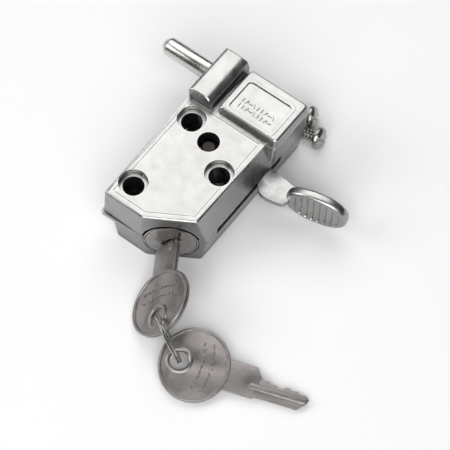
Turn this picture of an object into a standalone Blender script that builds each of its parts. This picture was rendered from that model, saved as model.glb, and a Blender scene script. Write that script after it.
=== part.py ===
"""Keyed pin-bolt lock for a sliding window sash, with two keys on a split ring.

The lock lies on its back: +X runs across the face towards the thumb lever, +Y along the
body towards the bolt, and +Z out of the face. The origin is at the back face, below the
lower left corner of the front face. Sizes below are in millimetres, and the helpers turn
them into metres.
"""
import math

import bmesh
import bpy
from mathutils import Matrix, Vector

MM = 0.001
GAP = 0.3            # space left between touching pieces
ROUND_STEPS = 32     # faces around a large turned piece
SMALL_STEPS = 20     # faces around a small one
CUT_PAST = 1.0       # how far a cutter runs past the face that it opens

# ---- casing ----------------------------------------------------------------------------
FACE_Z = 25.4
PAD_Z = 28.7
RIDGE_Z = 31.0
PARTING_Z = 13.1
COVER_LOW_Z = 13.4
BODY_TOP_Y = 66.8
STEP_Y = 46.9
CORNER_B = (16.2, 0.0)      # where the square end meets the angled end, on the face
CORNER_C = (31.7, 9.4)      # where the angled end meets the lever side, on the face
FACE_RIGHT = CORNER_C[0]
WALL = 2.0
FLOOR = 1.8
ROOF_INNER_Z = 23.2
LEFT_DRAFT = 0.67
END_DRAFT = 0.6
WALL_RIGHT = 34.4
PAD_RIGHT = 35.6
BEND = math.atan2(CORNER_C[1] - CORNER_B[1], CORNER_C[0] - CORNER_B[0])
CAVITY_TOP_Y = 64.8
LIP_LEFT = -1.2             # the tray's lip, past the cover's walls
BOSS_TOP_Z = 24.0           # inside the roof, so that bosses join it
RIDGE_Y = (46.6, 67.4)
RIDGE_X = (-0.5, 9.6)
RIDGE_FOOT_Z = 20.0
RECESS_DEPTH = 0.45         # label panel
BORDER_DEPTH = 0.25         # fine groove round the face
TRAY_FLARE_Z = 9.7          # top of the tray's narrow part
TRAY_STEP_Z = 10.0
LIP_LOW_Z = 11.3
TRAY_BOSS_TOPS = (10.1, 10.1, 12.9)     # the first two stay under the lever
BOLT_BLOCK = ((0.8, 47.4, 15.5), (9.0, 65.2, 24.0))
BOLT_RIBS_X = (13.0, 29.2)
BOLT_RIB_THICK = 1.8
BOLT_RIB_Y = (56.6, 65.3)
BOLT_RIB_LOW_Z = 16.4
BORE_END_X = 33.2
PIN_SLOT_END_X = 29.0

# ---- fixing holes ----------------------------------------------------------------------
FIXING_HOLES = [(5.84, 40.0), (26.1, 28.75), (5.6, 8.6)]
FIXING_R = 3.75
FIXING_BACK_R = 3.5
COUNTERBORE_R = 5.15
COUNTERBORE_DEPTH = 2.3
FIXING_BOSS_R = 5.0

# ---- lever and bolt --------------------------------------------------------------------
PIVOT = (15.9, 36.2)
PIVOT_HOLE_R = 3.9
PIVOT_COLLAR_R = 5.4
PIVOT_COLLAR_LOW_Z = 19.6
POST_R = 2.6
POST_TOP_Z = 22.0
POST_LOW_Z = 1.5
CLIP_GROOVE_Z = (14.0, 15.2)
CLIP_GROOVE_R = 2.0
LEVER_Z = (10.5, 12.9)
HUB_R = 5.2
SWING = 48.0                # degrees from bolt out to bolt in
FORK_REST = 90.0 + SWING / 2
FINGER_REST = -52.0
FORK_LENGTH = 25.2          # pivot to the bolt's line
BOLT_Y = PIVOT[1] + FORK_LENGTH
BOLT_Z = 20.0
BOLT_R = 3.4
BOLT_TIP_X = -22.5
BOLT_TAIL_X = 9.5
PIN_R = 1.5
PIN_X = PIVOT[0] - FORK_LENGTH * math.tan(math.radians(SWING / 2))
SLOT_Y = (16.7, 52.8)
SLOT_Z = 9.0
BOLT_CHAMFER = (1.5, 1.9)   # across the radius, and along the bolt
THUMB_PAD = (39.5, 8.5, 11.0)           # centre, from the pivot
THUMB_PAD_SIZE = (22.7, 15.6, 3.6)
THUMB_PAD_TURN = 12.1
SHOE_X = 6.4                # friction shoe and spring, beside the bolt
SHOE_R = 1.6
SHOE_BACK_Y = 54.0
SPRING_BACK_Y = 49.0
SPRING_CHANNEL_R = 1.95

# ---- key cylinder ----------------------------------------------------------------------
CYLINDER_ALONG = 9.15       # from corner B, along the angled end
CYLINDER_Z = 10.2
FLANGE_R = 9.4
FLANGE_DEPTH = 2.5
BARREL_R = 7.75
BARREL_END = -17.5
PLUG_HEAD_R = 8.65
PLUG_HEAD_DEPTH = 1.4
PLUG_R = 5.85
PLUG_END = -19.5
TENON = 1.4
CAM_DEPTH = 2.0
CAM_NOSE = 6.5
CAM_HALF_WIDTH = 2.5
WAFER_COUNT = 5
WAFER_FIRST = -4.6
WAFER_PITCH = 2.6
WAFER_THICK = 0.9
KEY_ANGLE = math.radians(44.0)

# ---- keys and ring ---------------------------------------------------------------------
KEY_THICK = 1.8
BOW_LENGTH_R = 12.0
BOW_WIDTH_R = 12.7
BOW_HOLE_R = 3.2
BOW_HOLE_X = -5.2
SHANK_HALF = 5.3
SHOULDER_X = 21.3
BLADE_LENGTH = 18.0
BLADE_LOW = -4.6
BLADE_HIGH = 2.4
KEY_OUT = 22.6              # bow centre, out of the cylinder's face
KEY_ASIDE = -1.0            # bow centre, across the keyway from the cylinder's axis
RING_R = 8.3
RING_WIRE_R = 0.85          # half the width of the two turns of wire
RING_WIRE_DEEP = 0.53       # half their thickness, outwards
RING_FALL = math.radians(77.7)      # steepness of the ring's plane
RING_HEADING = Vector((0.864, -0.503, 0.0))
SPARE_HOLE_Z = 3.8
SPARE_HEADING = math.radians(20.2)
SPARE_ROLL = math.radians(8.0)
TABLE_CLEARANCE = 0.15

# ---- fasteners -------------------------------------------------------------------------
COVER_SCREWS = [(6.6, 24.5), (29.9, 55.0), (29.3, 17.1)]
COVER_SCREW_BOSS_TOPS = (12.8, 10.1, 12.8)      # the second stays under the lever's fork
COVER_SCREW_R = 1.2
COVER_SCREW_HEAD_R = 2.0
COVER_SCREW_BOSS_R = 2.4
COVER_SCREW_HEAD_Z = (0.25, 1.45)
COVER_SCREW_END = 20.0
MOUNTING_SCREWS = [((37.2, 70.4), 7.0), ((30.2, 75.8), 21.0)]
SCREW_HEAD_R = 4.15
SCREW_HEAD_H = 2.6
SCREW_SHANK_R = 2.1
SCREW_LENGTH = 14.0
SCREW_POINT = 3.0
SCREW_SLOT = (1.2, 1.2)     # width and depth
SCREW_SLOT_TURN = math.radians(35.0)


# ---- helpers ---------------------------------------------------------------------------
def clear_scene():
    """Remove every object, so that the script starts from nothing."""
    for old in list(bpy.data.objects):
        bpy.data.objects.remove(old, do_unlink=True)


def collection(name):
    """New collection in the scene."""
    made = bpy.data.collections.new(name)
    bpy.context.scene.collection.children.link(made)
    return made


def metal(name, colour, roughness):
    """Principled metal with one colour and roughness."""
    made = bpy.data.materials.new(name)
    made.use_nodes = True
    shader = made.node_tree.nodes["Principled BSDF"]
    shader.inputs["Base Color"].default_value = (*colour, 1.0)
    shader.inputs["Roughness"].default_value = roughness
    shader.inputs["Metallic"].default_value = 1.0
    return made


def wrap(name, shape, group):
    """Object from a bmesh, linked to a collection."""
    mesh = bpy.data.meshes.new(name)
    shape.to_mesh(mesh)
    shape.free()
    made = bpy.data.objects.new(name, mesh)
    group.objects.link(made)
    return made


def box(name, low, high, group):
    """Box between two corners."""
    shape = bmesh.new()
    bmesh.ops.create_cube(shape, size=1.0)
    for vertex in shape.verts:
        for axis in range(3):
            share = vertex.co[axis] + 0.5
            vertex.co[axis] = (low[axis] + (high[axis] - low[axis]) * share) * MM
    return wrap(name, shape, group)


def rod(name, radius, low, high, group, centre=(0.0, 0.0), end_radius=None, steps=ROUND_STEPS):
    """Round bar, or cone, along Z."""
    shape = bmesh.new()
    top = radius if end_radius is None else end_radius
    middle = Vector((centre[0], centre[1], (low + high) / 2)) * MM
    bmesh.ops.create_cone(shape, cap_ends=True, segments=steps, radius1=radius * MM,
                          radius2=top * MM, depth=(high - low) * MM,
                          matrix=Matrix.Translation(middle))
    return wrap(name, shape, group)


def turned(name, profile, group, steps=ROUND_STEPS, closed=False):
    """Profile of (radius, z) points, spun about Z by a Screw modifier."""
    shape = bmesh.new()
    points = [shape.verts.new((radius * MM, 0.0, z * MM)) for radius, z in profile]
    for first, second in zip(points, points[1:]):
        shape.edges.new((first, second))
    if closed:
        shape.edges.new((points[-1], points[0]))
    made = wrap(name, shape, group)
    screw = made.modifiers.new("spin", 'SCREW')
    screw.steps = steps
    screw.render_steps = steps
    screw.use_merge_vertices = True
    screw.merge_threshold = 0.00001
    return made


def as_mesh(source, group):
    """Turn a curve object into a welded mesh object in the same place."""
    bpy.context.scene.collection.objects.link(source)
    bpy.context.view_layer.update()
    graph = bpy.context.evaluated_depsgraph_get()
    mesh = bpy.data.meshes.new_from_object(source.evaluated_get(graph))
    shape = bmesh.new()
    shape.from_mesh(mesh)
    bmesh.ops.remove_doubles(shape, verts=shape.verts, dist=0.000001)
    shape.to_mesh(mesh)
    shape.free()
    name = source.name
    place = source.matrix_world.copy()
    bpy.data.objects.remove(source, do_unlink=True)
    made = bpy.data.objects.new(name, mesh)
    made.matrix_world = place
    group.objects.link(made)
    return made


def plate(name, outlines, low, high, group):
    """Flat piece from closed outlines, between two heights. Later outlines are holes."""
    curve = bpy.data.curves.new(name, 'CURVE')
    curve.dimensions = '2D'
    curve.fill_mode = 'BOTH'
    curve.extrude = (high - low) / 2 * MM
    for outline in outlines:
        spline = curve.splines.new('POLY')
        spline.points.add(len(outline) - 1)
        spline.use_cyclic_u = True
        for point, (x, y) in zip(spline.points, outline):
            point.co = (x * MM, y * MM, 0.0, 1.0)
    source = bpy.data.objects.new(name, curve)
    source.location.z = (low + high) / 2 * MM
    made = as_mesh(source, group)
    made.data.transform(Matrix.Translation(made.location))
    made.location = (0.0, 0.0, 0.0)
    return made


def loft(name, sections, group):
    """Closed solid through outlines of equal length, each given as (points, z)."""
    shape = bmesh.new()
    rings = []
    for points, z in sections:
        rings.append([shape.verts.new((x * MM, y * MM, z * MM)) for x, y in points])
    for low, high in zip(rings, rings[1:]):
        for i in range(len(low)):
            j = (i + 1) % len(low)
            shape.faces.new((low[i], low[j], high[j], high[i]))
    shape.faces.new(list(reversed(rings[0])))
    shape.faces.new(rings[-1])
    return wrap(name, shape, group)


def arc(centre, radius, start, end, steps):
    """Points on an arc, angles in degrees."""
    points = []
    for i in range(steps + 1):
        angle = math.radians(start + (end - start) * i / steps)
        points.append((centre[0] + radius * math.cos(angle), centre[1] + radius * math.sin(angle)))
    return points


def rounded(corners, radius, steps=4):
    """Outline with each corner replaced by an arc of the given radius."""
    outline = []
    for i, corner in enumerate(corners):
        here = Vector(corner)
        back = (Vector(corners[i - 1]) - here).normalized()
        ahead = (Vector(corners[(i + 1) % len(corners)]) - here).normalized()
        half = back.angle(ahead) / 2
        centre = here + (back + ahead).normalized() * radius / math.sin(half)
        first = here + back * radius / math.tan(half) - centre
        last = here + ahead * radius / math.tan(half) - centre
        turn = math.atan2(first.cross(last), first.dot(last))
        for k in range(steps + 1):
            angle = turn * k / steps
            x = first.x * math.cos(angle) - first.y * math.sin(angle)
            y = first.x * math.sin(angle) + first.y * math.cos(angle)
            outline.append((centre.x + x, centre.y + y))
    return outline


def boolean(target, tool, operation, guides):
    """Cut or join a tool into a piece, and keep the tool as a hidden guide."""
    change = target.modifiers.new(tool.name, 'BOOLEAN')
    change.operation = operation
    change.object = tool
    change.solver = 'EXACT'
    for group in list(tool.users_collection):
        group.objects.unlink(tool)
    guides.objects.link(tool)
    tool.hide_render = True
    tool.display_type = 'WIRE'


def cut(target, tool, guides):
    boolean(target, tool, 'DIFFERENCE', guides)


def join(target, tool, guides):
    boolean(target, tool, 'UNION', guides)


def finish(made, material):
    """Give a piece its material and its shading."""
    made.data.materials.clear()
    made.data.materials.append(material)
    if made.type == 'MESH':
        made.data.shade_smooth()
        made.data.set_sharp_from_angle(angle=math.radians(35.0))
    return made


def under(made, parent):
    """Make a piece a child of an empty, in the empty's own frame."""
    made.parent = parent


def empty(name, location, rotation, group, parent=None):
    """Empty that marks an axis, placed in millimetres."""
    made = bpy.data.objects.new(name, None)
    made.empty_display_size = 0.005
    made.location = Vector(location) * MM
    made.rotation_euler = rotation
    made.parent = parent
    group.objects.link(made)
    return made


# ---- outlines --------------------------------------------------------------------------
def angled_y(x, inset=0.0):
    """Y of the angled end at X, moved into the body by an inset."""
    return CORNER_B[1] + (x - CORNER_B[0]) * math.tan(BEND) + inset / math.cos(BEND)


def angled_x(y, inset=0.0):
    """X of the angled end at Y, moved into the body by an inset."""
    return CORNER_B[0] + (y - CORNER_B[1] - inset / math.cos(BEND)) / math.tan(BEND)


def body_outline(left, end, right, top, radius, inset=0.0):
    """Five-sided outline of the casing, with its angled corner, anticlockwise."""
    corners = [(left, end), (angled_x(end, inset), end), (right, angled_y(right, inset)),
               (right, top), (left, top)]
    return rounded(corners, radius)


def cylinder_centre():
    """Middle of the key cylinder's face, on the angled end."""
    x = CORNER_B[0] + CYLINDER_ALONG * math.cos(BEND)
    y = CORNER_B[1] + CYLINDER_ALONG * math.sin(BEND)
    return (x, y, CYLINDER_Z)


# ---- casing ----------------------------------------------------------------------------
def cylinder_tool(name, radius, low, high, frame, group, lift=0.0):
    """Round tool on the key cylinder's axis."""
    tool = rod(name, radius, low, high, group, centre=(0.0, lift))
    under(tool, frame)
    return tool


def bolt_tool(name, radius, low, high, group):
    """Round tool along the bolt's axis."""
    tool = rod(name, radius, low, high, group)
    tool.rotation_euler = (0.0, math.pi / 2, 0.0)
    tool.location = Vector((0.0, BOLT_Y, BOLT_Z)) * MM
    return tool


def make_front_cover(parts, guides, frame):
    """Die-cast cover: walls, raised label pad, ridge over the bolt, and inner bosses."""
    low = body_outline(-LEFT_DRAFT, -END_DRAFT, WALL_RIGHT, BODY_TOP_Y, 1.0)
    high = body_outline(0.0, 0.0, FACE_RIGHT, BODY_TOP_Y - END_DRAFT, 1.0)
    cover = loft("front_cover", [(low, COVER_LOW_Z), (high, FACE_Z)], parts)

    pad_low = rounded([(8.0, STEP_Y), (WALL_RIGHT + 0.2, STEP_Y), (WALL_RIGHT + 0.2, BODY_TOP_Y - 0.1),
                       (8.0, BODY_TOP_Y - 0.1)], 1.2)
    pad_mid = rounded([(11.0, STEP_Y + 0.1), (PAD_RIGHT, STEP_Y + 0.1), (PAD_RIGHT, BODY_TOP_Y),
                       (11.0, BODY_TOP_Y)], 1.2)
    pad_high = rounded([(11.4, STEP_Y + 1.0), (PAD_RIGHT - 0.4, STEP_Y + 1.0),
                        (PAD_RIGHT - 0.4, BODY_TOP_Y - 0.4), (11.4, BODY_TOP_Y - 0.4)], 1.3)
    shoulder = loft("guide_pad_shoulder", [(pad_low, COVER_LOW_Z + 0.2), (pad_mid, FACE_Z - 0.2)], parts)
    join(cover, shoulder, guides)
    pad = loft("guide_pad", [(pad_mid, FACE_Z - 1.0), (pad_high, PAD_Z)], parts)
    join(cover, pad, guides)
    recess = plate("cutter_label_recess", [rounded([(13.2, STEP_Y + 2.2), (PAD_RIGHT - 3.4, STEP_Y + 2.2),
                   (PAD_RIGHT - 3.4, BODY_TOP_Y - 3.8), (13.2, BODY_TOP_Y - 3.8)], 1.6)],
                   PAD_Z - RECESS_DEPTH, PAD_Z + CUT_PAST, parts)
    cut(cover, recess, guides)

    ridge = plate("guide_ridge", [ridge_section()], RIDGE_Y[0], RIDGE_Y[1], parts)
    ridge.data.transform(Matrix.Rotation(math.pi / 2, 4, 'X') @ Matrix.Scale(-1.0, 4, (0.0, 0.0, 1.0)))
    ridge.data.flip_normals()
    join(cover, ridge, guides)

    border = plate("cutter_border", [body_outline(2.0, 2.0, FACE_RIGHT - 1.6, STEP_Y - 1.0, 0.6, 2.0),
                                     body_outline(2.5, 2.5, FACE_RIGHT - 2.1, STEP_Y - 1.6, 0.5, 2.5)],
                   FACE_Z - BORDER_DEPTH, FACE_Z + CUT_PAST, parts)
    cut(cover, border, guides)

    hollow_low = body_outline(1.2, 1.4, 32.4, CAVITY_TOP_Y, 0.8, WALL)
    hollow_high = body_outline(1.7, 1.9, 30.4, CAVITY_TOP_Y - 0.4, 0.8, WALL)
    hollow = loft("cutter_cover_hollow", [(hollow_low, COVER_LOW_Z - CUT_PAST),
                                          (hollow_high, ROOF_INNER_Z)], parts)
    cut(cover, hollow, guides)

    join(cover, box("guide_bolt_block", *BOLT_BLOCK, parts), guides)
    for i, x in enumerate(BOLT_RIBS_X):
        rib = box(f"guide_bolt_rib_{i + 1}", (x, BOLT_RIB_Y[0], BOLT_RIB_LOW_Z),
                  (x + BOLT_RIB_THICK, BOLT_RIB_Y[1], BOSS_TOP_Z), parts)
        join(cover, rib, guides)
    for i, (x, y) in enumerate(FIXING_HOLES):
        boss = rod(f"guide_fixing_boss_{i + 1}", FIXING_BOSS_R, COVER_LOW_Z + 0.1, BOSS_TOP_Z, parts, (x, y))
        join(cover, boss, guides)
    collar = rod("guide_pivot_collar", PIVOT_COLLAR_R, PIVOT_COLLAR_LOW_Z, BOSS_TOP_Z, parts, PIVOT)
    join(cover, collar, guides)
    for i, (x, y) in enumerate(COVER_SCREWS):
        boss = rod(f"guide_cover_boss_{i + 1}", COVER_SCREW_BOSS_R, COVER_LOW_Z + 0.15, BOSS_TOP_Z + 0.1,
                   parts, (x, y), steps=SMALL_STEPS)
        join(cover, boss, guides)
    saddle = box("guide_cover_saddle", (-8.6, 3.6, -10.7), (8.6, 13.9, -9.3), parts)
    under(saddle, frame)
    join(cover, saddle, guides)

    cut(cover, cylinder_tool("cutter_cover_arch", FLANGE_R + 0.8, -3.0, 6.0, frame, parts, 0.5), guides)
    cut(cover, cylinder_tool("cutter_cover_barrel", BARREL_R + GAP, -9.0, -2.5, frame, parts), guides)
    cut(cover, cylinder_tool("cutter_cover_groove", BARREL_R - 0.45, -13.0, -8.5, frame, parts), guides)
    cut(cover, bolt_tool("cutter_bolt_bore", BOLT_R + GAP, -5.0, BORE_END_X, parts), guides)
    slot = box("cutter_pin_slot", (PIN_X - PIN_R - 0.5, BOLT_Y - 2.0, COVER_LOW_Z - CUT_PAST),
               (PIN_SLOT_END_X, BOLT_Y + 2.0, BOLT_Z), parts)
    cut(cover, slot, guides)
    channel = rod("cutter_spring_channel", SPRING_CHANNEL_R, SPRING_BACK_Y, BOLT_Y, parts)
    channel.data.transform(Matrix.Rotation(-math.pi / 2, 4, 'X'))
    channel.location = Vector((SHOE_X, 0.0, BOLT_Z)) * MM
    cut(cover, channel, guides)
    for i, (x, y) in enumerate(FIXING_HOLES):
        hole = rod(f"cutter_fixing_{i + 1}", FIXING_R, 10.0, 40.0, parts, (x, y))
        cut(cover, hole, guides)
        seat = rod(f"cutter_counterbore_{i + 1}", COUNTERBORE_R, FACE_Z - COUNTERBORE_DEPTH, 40.0, parts,
                   (x, y))
        cut(cover, seat, guides)
    cut(cover, rod("cutter_pivot_hole", PIVOT_HOLE_R, 15.0, 40.0, parts, PIVOT), guides)
    for i, (x, y) in enumerate(COVER_SCREWS):
        pilot = rod(f"cutter_pilot_{i + 1}", COVER_SCREW_R + GAP, 10.0, COVER_SCREW_END + 0.6, parts,
                    (x, y), steps=SMALL_STEPS)
        cut(cover, pilot, guides)
    return cover


def ridge_section():
    """Cross-section of the ridge, across X and Z: flat top, one wide round shoulder."""
    wide = 4.0
    narrow = 1.9
    right = arc((RIDGE_X[1] - wide, RIDGE_Z - wide), wide, 0.0, 90.0, 8)
    left = arc((RIDGE_X[0] + narrow, RIDGE_Z - narrow), narrow, 90.0, 180.0, 5)
    return [(RIDGE_X[0], RIDGE_FOOT_Z), (RIDGE_X[1], RIDGE_FOOT_Z)] + right + left


def make_rear_housing(parts, guides, frame):
    """Die-cast tray: floor, inset walls under a lip, lever slot, bosses and saddle."""
    floor = body_outline(3.3, 0.3, 32.6, 66.4, 1.6)
    flare = body_outline(2.3, 0.0, 34.1, 66.6, 1.4)
    lip = [(LIP_LEFT, LIP_LEFT - 0.1), (angled_x(-0.6), -0.6), (WALL_RIGHT, angled_y(WALL_RIGHT)),
           (WALL_RIGHT, BODY_TOP_Y), (LIP_LEFT, BODY_TOP_Y)]
    lip = rounded(lip, 1.0)
    housing = loft("rear_housing", [(floor, 0.0), (flare, TRAY_FLARE_Z), (lip, LIP_LOW_Z), (lip, PARTING_Z)],
                   parts)

    pit_low = body_outline(5.2, 2.2, 30.6, CAVITY_TOP_Y - 0.2, 0.8, WALL)
    pit_high = body_outline(4.3, 2.0, 32.0, CAVITY_TOP_Y, 0.8, WALL)
    upper = body_outline(0.7, 1.4, 32.4, CAVITY_TOP_Y, 0.8, WALL)
    cut(housing, loft("cutter_tray", [(pit_low, FLOOR), (pit_high, TRAY_STEP_Z)], parts), guides)
    cut(housing, plate("cutter_tray_step", [pit_high], TRAY_STEP_Z - 0.1, TRAY_STEP_Z + 0.4, parts), guides)
    cut(housing, plate("cutter_tray_upper", [upper], TRAY_STEP_Z + 0.2, PARTING_Z + CUT_PAST, parts), guides)

    for i, ((x, y), top) in enumerate(zip(FIXING_HOLES, TRAY_BOSS_TOPS)):
        boss = rod(f"guide_tray_boss_{i + 1}", FIXING_BOSS_R, 0.9, top, parts, (x, y))
        join(housing, boss, guides)
    post = rod("guide_post_boss", HUB_R, 0.8, 10.15, parts, PIVOT)
    join(housing, post, guides)
    for i, ((x, y), top) in enumerate(zip(COVER_SCREWS, COVER_SCREW_BOSS_TOPS)):
        boss = rod(f"guide_tray_screw_boss_{i + 1}", COVER_SCREW_BOSS_R, 0.7, top, parts, (x, y),
                   steps=SMALL_STEPS)
        join(housing, boss, guides)
    saddle = box("guide_tray_saddle", (-8.6, -9.3, -10.7), (8.6, 0.0, -9.3), parts)
    under(saddle, frame)
    join(housing, saddle, guides)

    cut(housing, cylinder_tool("cutter_tray_flange", FLANGE_R + GAP, -2.8, 6.0, frame, parts), guides)
    cut(housing, cylinder_tool("cutter_tray_barrel", BARREL_R + GAP, -9.0, -2.5, frame, parts), guides)
    cut(housing, cylinder_tool("cutter_tray_groove", BARREL_R - 0.45, -13.0, -8.5, frame, parts), guides)
    slot = box("cutter_lever_slot", (28.0, SLOT_Y[0], SLOT_Z), (40.0, SLOT_Y[1], 20.0), parts)
    cut(housing, slot, guides)
    for i, (x, y) in enumerate(FIXING_HOLES):
        hole = rod(f"cutter_tray_fixing_{i + 1}", FIXING_BACK_R, -5.0, 20.0, parts, (x, y))
        cut(housing, hole, guides)
    socket = rod("cutter_post_socket", POST_R + GAP, 1.2, 20.0, parts, PIVOT)
    cut(housing, socket, guides)
    for i, (x, y) in enumerate(COVER_SCREWS):
        hole = rod(f"cutter_tray_screw_{i + 1}", COVER_SCREW_R + GAP, -5.0, 20.0, parts, (x, y),
                   steps=SMALL_STEPS)
        cut(housing, hole, guides)
        sink = rod(f"cutter_tray_sink_{i + 1}", COVER_SCREW_HEAD_R + GAP, -5.0, COVER_SCREW_HEAD_Z[1] + GAP,
                   parts, (x, y), steps=SMALL_STEPS)
        cut(housing, sink, guides)
    return housing


def make_cover_screw(index, place, parts):
    """Screw from the back, with its head sunk in the tray's floor."""
    low, high = COVER_SCREW_HEAD_Z
    profile = [(0.0, COVER_SCREW_END), (COVER_SCREW_R, COVER_SCREW_END), (COVER_SCREW_R, high),
               (COVER_SCREW_HEAD_R, high), (COVER_SCREW_HEAD_R, low), (0.0, low)]
    made = turned(f"cover_screw_{index + 1}", profile, parts, steps=SMALL_STEPS)
    made.location = Vector((place[0], place[1], 0.0)) * MM
    return made


# ---- bolt ------------------------------------------------------------------------------
def make_bolt(parts, guides):
    """Round bolt with a chamfered nose and a blind hole for its drive pin."""
    length = BOLT_TAIL_X - BOLT_TIP_X
    across, back = BOLT_CHAMFER
    profile = [(0.0, length), (BOLT_R - across, length), (BOLT_R, length - back), (BOLT_R, 0.5),
               (BOLT_R - 0.5, 0.0), (0.0, 0.0)]
    bolt = turned("bolt_pin", profile, parts)
    bolt.rotation_euler = (0.0, -math.pi / 2, 0.0)
    bolt.location = Vector((BOLT_TAIL_X, BOLT_Y, BOLT_Z)) * MM
    hole = rod("cutter_drive_hole", PIN_R + GAP, 10.0, BOLT_Z + 2.2, parts, (PIN_X, BOLT_Y),
               steps=SMALL_STEPS)
    cut(bolt, hole, guides)
    return bolt


def make_drive_pin(parts):
    """Pin pressed into the bolt, reaching down into the lever's fork."""
    top = BOLT_Z + 1.9
    low = LEVER_Z[0]
    profile = [(0.0, top), (PIN_R, top), (PIN_R, low + 0.3), (PIN_R - 0.3, low), (0.0, low)]
    pin = turned("bolt_drive_pin", profile, parts, steps=SMALL_STEPS)
    pin.location = Vector((PIN_X, BOLT_Y, 0.0)) * MM
    return pin


def make_friction_shoe(parts):
    """Round-nosed shoe that presses on the side of the bolt."""
    tip = BOLT_Y - BOLT_R - GAP
    profile = [(0.0, tip), (0.9, tip - 0.25), (1.4, tip - 0.7), (SHOE_R, tip - 1.3),
               (SHOE_R, SHOE_BACK_Y), (0.0, SHOE_BACK_Y)]
    shoe = turned("friction_shoe", profile, parts, steps=SMALL_STEPS)
    shoe.rotation_euler = (-math.pi / 2, 0.0, 0.0)
    shoe.location = Vector((SHOE_X, 0.0, BOLT_Z)) * MM
    return shoe


def make_friction_spring(parts):
    """Coil spring behind the shoe."""
    wire_r = 0.25
    coil_r = 1.3
    turns = 5
    per_turn = 12
    start = SPRING_BACK_Y + GAP + wire_r
    end = SHOE_BACK_Y - GAP - wire_r
    curve = bpy.data.curves.new("friction_spring", 'CURVE')
    curve.dimensions = '3D'
    curve.bevel_depth = wire_r * MM
    curve.bevel_resolution = 2
    curve.use_fill_caps = True
    spline = curve.splines.new('POLY')
    count = turns * per_turn + 1
    spline.points.add(count - 1)
    for i, point in enumerate(spline.points):
        angle = 2 * math.pi * i / per_turn
        y = start + (end - start) * i / (count - 1)
        point.co = (coil_r * math.cos(angle) * MM, y * MM, coil_r * math.sin(angle) * MM, 1.0)
    made = bpy.data.objects.new("friction_spring", curve)
    made.location = Vector((SHOE_X, 0.0, BOLT_Z)) * MM
    parts.objects.link(made)
    return made


# ---- lever -----------------------------------------------------------------------------
def along(angle, distance, aside):
    """Point at a distance along a direction in degrees, moved to its left."""
    direction = math.radians(angle)
    x = distance * math.cos(direction) - aside * math.sin(direction)
    y = distance * math.sin(direction) + aside * math.cos(direction)
    return (x, y)


def lever_outline():
    """Lever plate about its pivot: fork, hub, tail finger, and arm with a relief."""
    stem = 2.7
    tine = 3.3
    fork_end = 28.0
    fork_slot = 2.15
    slot_bottom = 24.4
    finger = 1.5
    finger_reach = 10.8
    fork = [along(FORK_REST, 4.0, stem + 0.4), along(FORK_REST, 20.0, stem),
            along(FORK_REST, 22.5, tine), along(FORK_REST, fork_end, tine),
            along(FORK_REST, fork_end, fork_slot)]
    centre = along(FORK_REST, slot_bottom, 0.0)
    slot = arc(centre, fork_slot, FORK_REST + 90.0, FORK_REST + 270.0, 8)
    other = [along(FORK_REST, fork_end, -fork_slot), along(FORK_REST, fork_end, -tine),
             along(FORK_REST, 22.5, -tine), along(FORK_REST, 20.0, -stem),
             along(FORK_REST, 8.5, -stem)]
    upper = [(6.0, 9.6), (12.0, 10.9), (18.2, 10.6), (29.3, 9.4)]
    tip = [(30.5, 7.6), (30.8, 5.4), (30.6, 3.2), (29.9, 1.7)]
    lower = [(26.7, 0.7), (23.6, 0.2), (21.6, 0.5), (20.1, 1.3), (19.0, 2.5), (18.2, 4.1), (17.0, 4.9)]
    screw_reach = math.hypot(FIXING_HOLES[1][0] - PIVOT[0], FIXING_HOLES[1][1] - PIVOT[1])
    screw_angle = math.degrees(math.atan2(FIXING_HOLES[1][1] - PIVOT[1], FIXING_HOLES[1][0] - PIVOT[0]))
    relief = arc(along(screw_angle + SWING, screw_reach, 0.0), 3.2, 55.0, 205.0, 10)
    hub_right = arc((0.0, 0.0), HUB_R, -2.0, FINGER_REST + 20.0, 3)
    tail = [along(FINGER_REST, 6.5, finger)]
    tail += arc(along(FINGER_REST, finger_reach - finger, 0.0), finger, FINGER_REST + 90.0,
                FINGER_REST - 90.0, 8)
    tail += [along(FINGER_REST, 6.5, -finger)]
    hub_left = arc((0.0, 0.0), HUB_R, FINGER_REST - 20.0, FORK_REST - 360.0 + 42.0, 12)
    clockwise = fork + slot + other + upper + tip + lower + relief + hub_right + tail + hub_left
    return list(reversed(clockwise))


def make_lever(parts, guides):
    """Cast lever: flat plate with a hub hole, and an oval thumb pad standing on edge."""
    low, high = LEVER_Z
    lever = plate("thumb_lever", [lever_outline(), arc((0.0, 0.0), POST_R + GAP, 0.0, 345.0, 23)],
                  low, high, parts)
    length, height, thick = THUMB_PAD_SIZE
    pad = turned("guide_thumb_pad", [(0.0, thick / 2), (0.86, thick / 2), (0.97, thick / 2 - 0.35),
                                     (1.0, thick / 2 - 1.1), (1.0, 1.1 - thick / 2),
                                     (0.97, 0.35 - thick / 2), (0.86, -thick / 2), (0.0, -thick / 2)],
                 parts, steps=40)
    for vertex in pad.data.vertices:
        vertex.co.x *= length / 2
    turn = Matrix.Rotation(math.pi / 2, 4, 'X')
    squeeze = Matrix.Diagonal((1.0, height / length, 1.0, 1.0))
    heading = Matrix.Rotation(math.radians(THUMB_PAD_TURN), 4, 'Z')
    place = Matrix.Translation(Vector(THUMB_PAD) * MM)
    baked = bake(pad, place @ heading @ turn @ squeeze, parts)
    join(lever, baked, guides)
    lever.location = Vector((PIVOT[0], PIVOT[1], 0.0)) * MM
    baked.location = lever.location
    return lever


def bake(source, matrix, group):
    """Make a modifier-built object a plain mesh, moved by a matrix."""
    bpy.context.view_layer.update()
    graph = bpy.context.evaluated_depsgraph_get()
    mesh = bpy.data.meshes.new_from_object(source.evaluated_get(graph))
    mesh.transform(matrix)
    name = source.name
    bpy.data.objects.remove(source, do_unlink=True)
    made = bpy.data.objects.new(name, mesh)
    group.objects.link(made)
    return made


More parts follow.
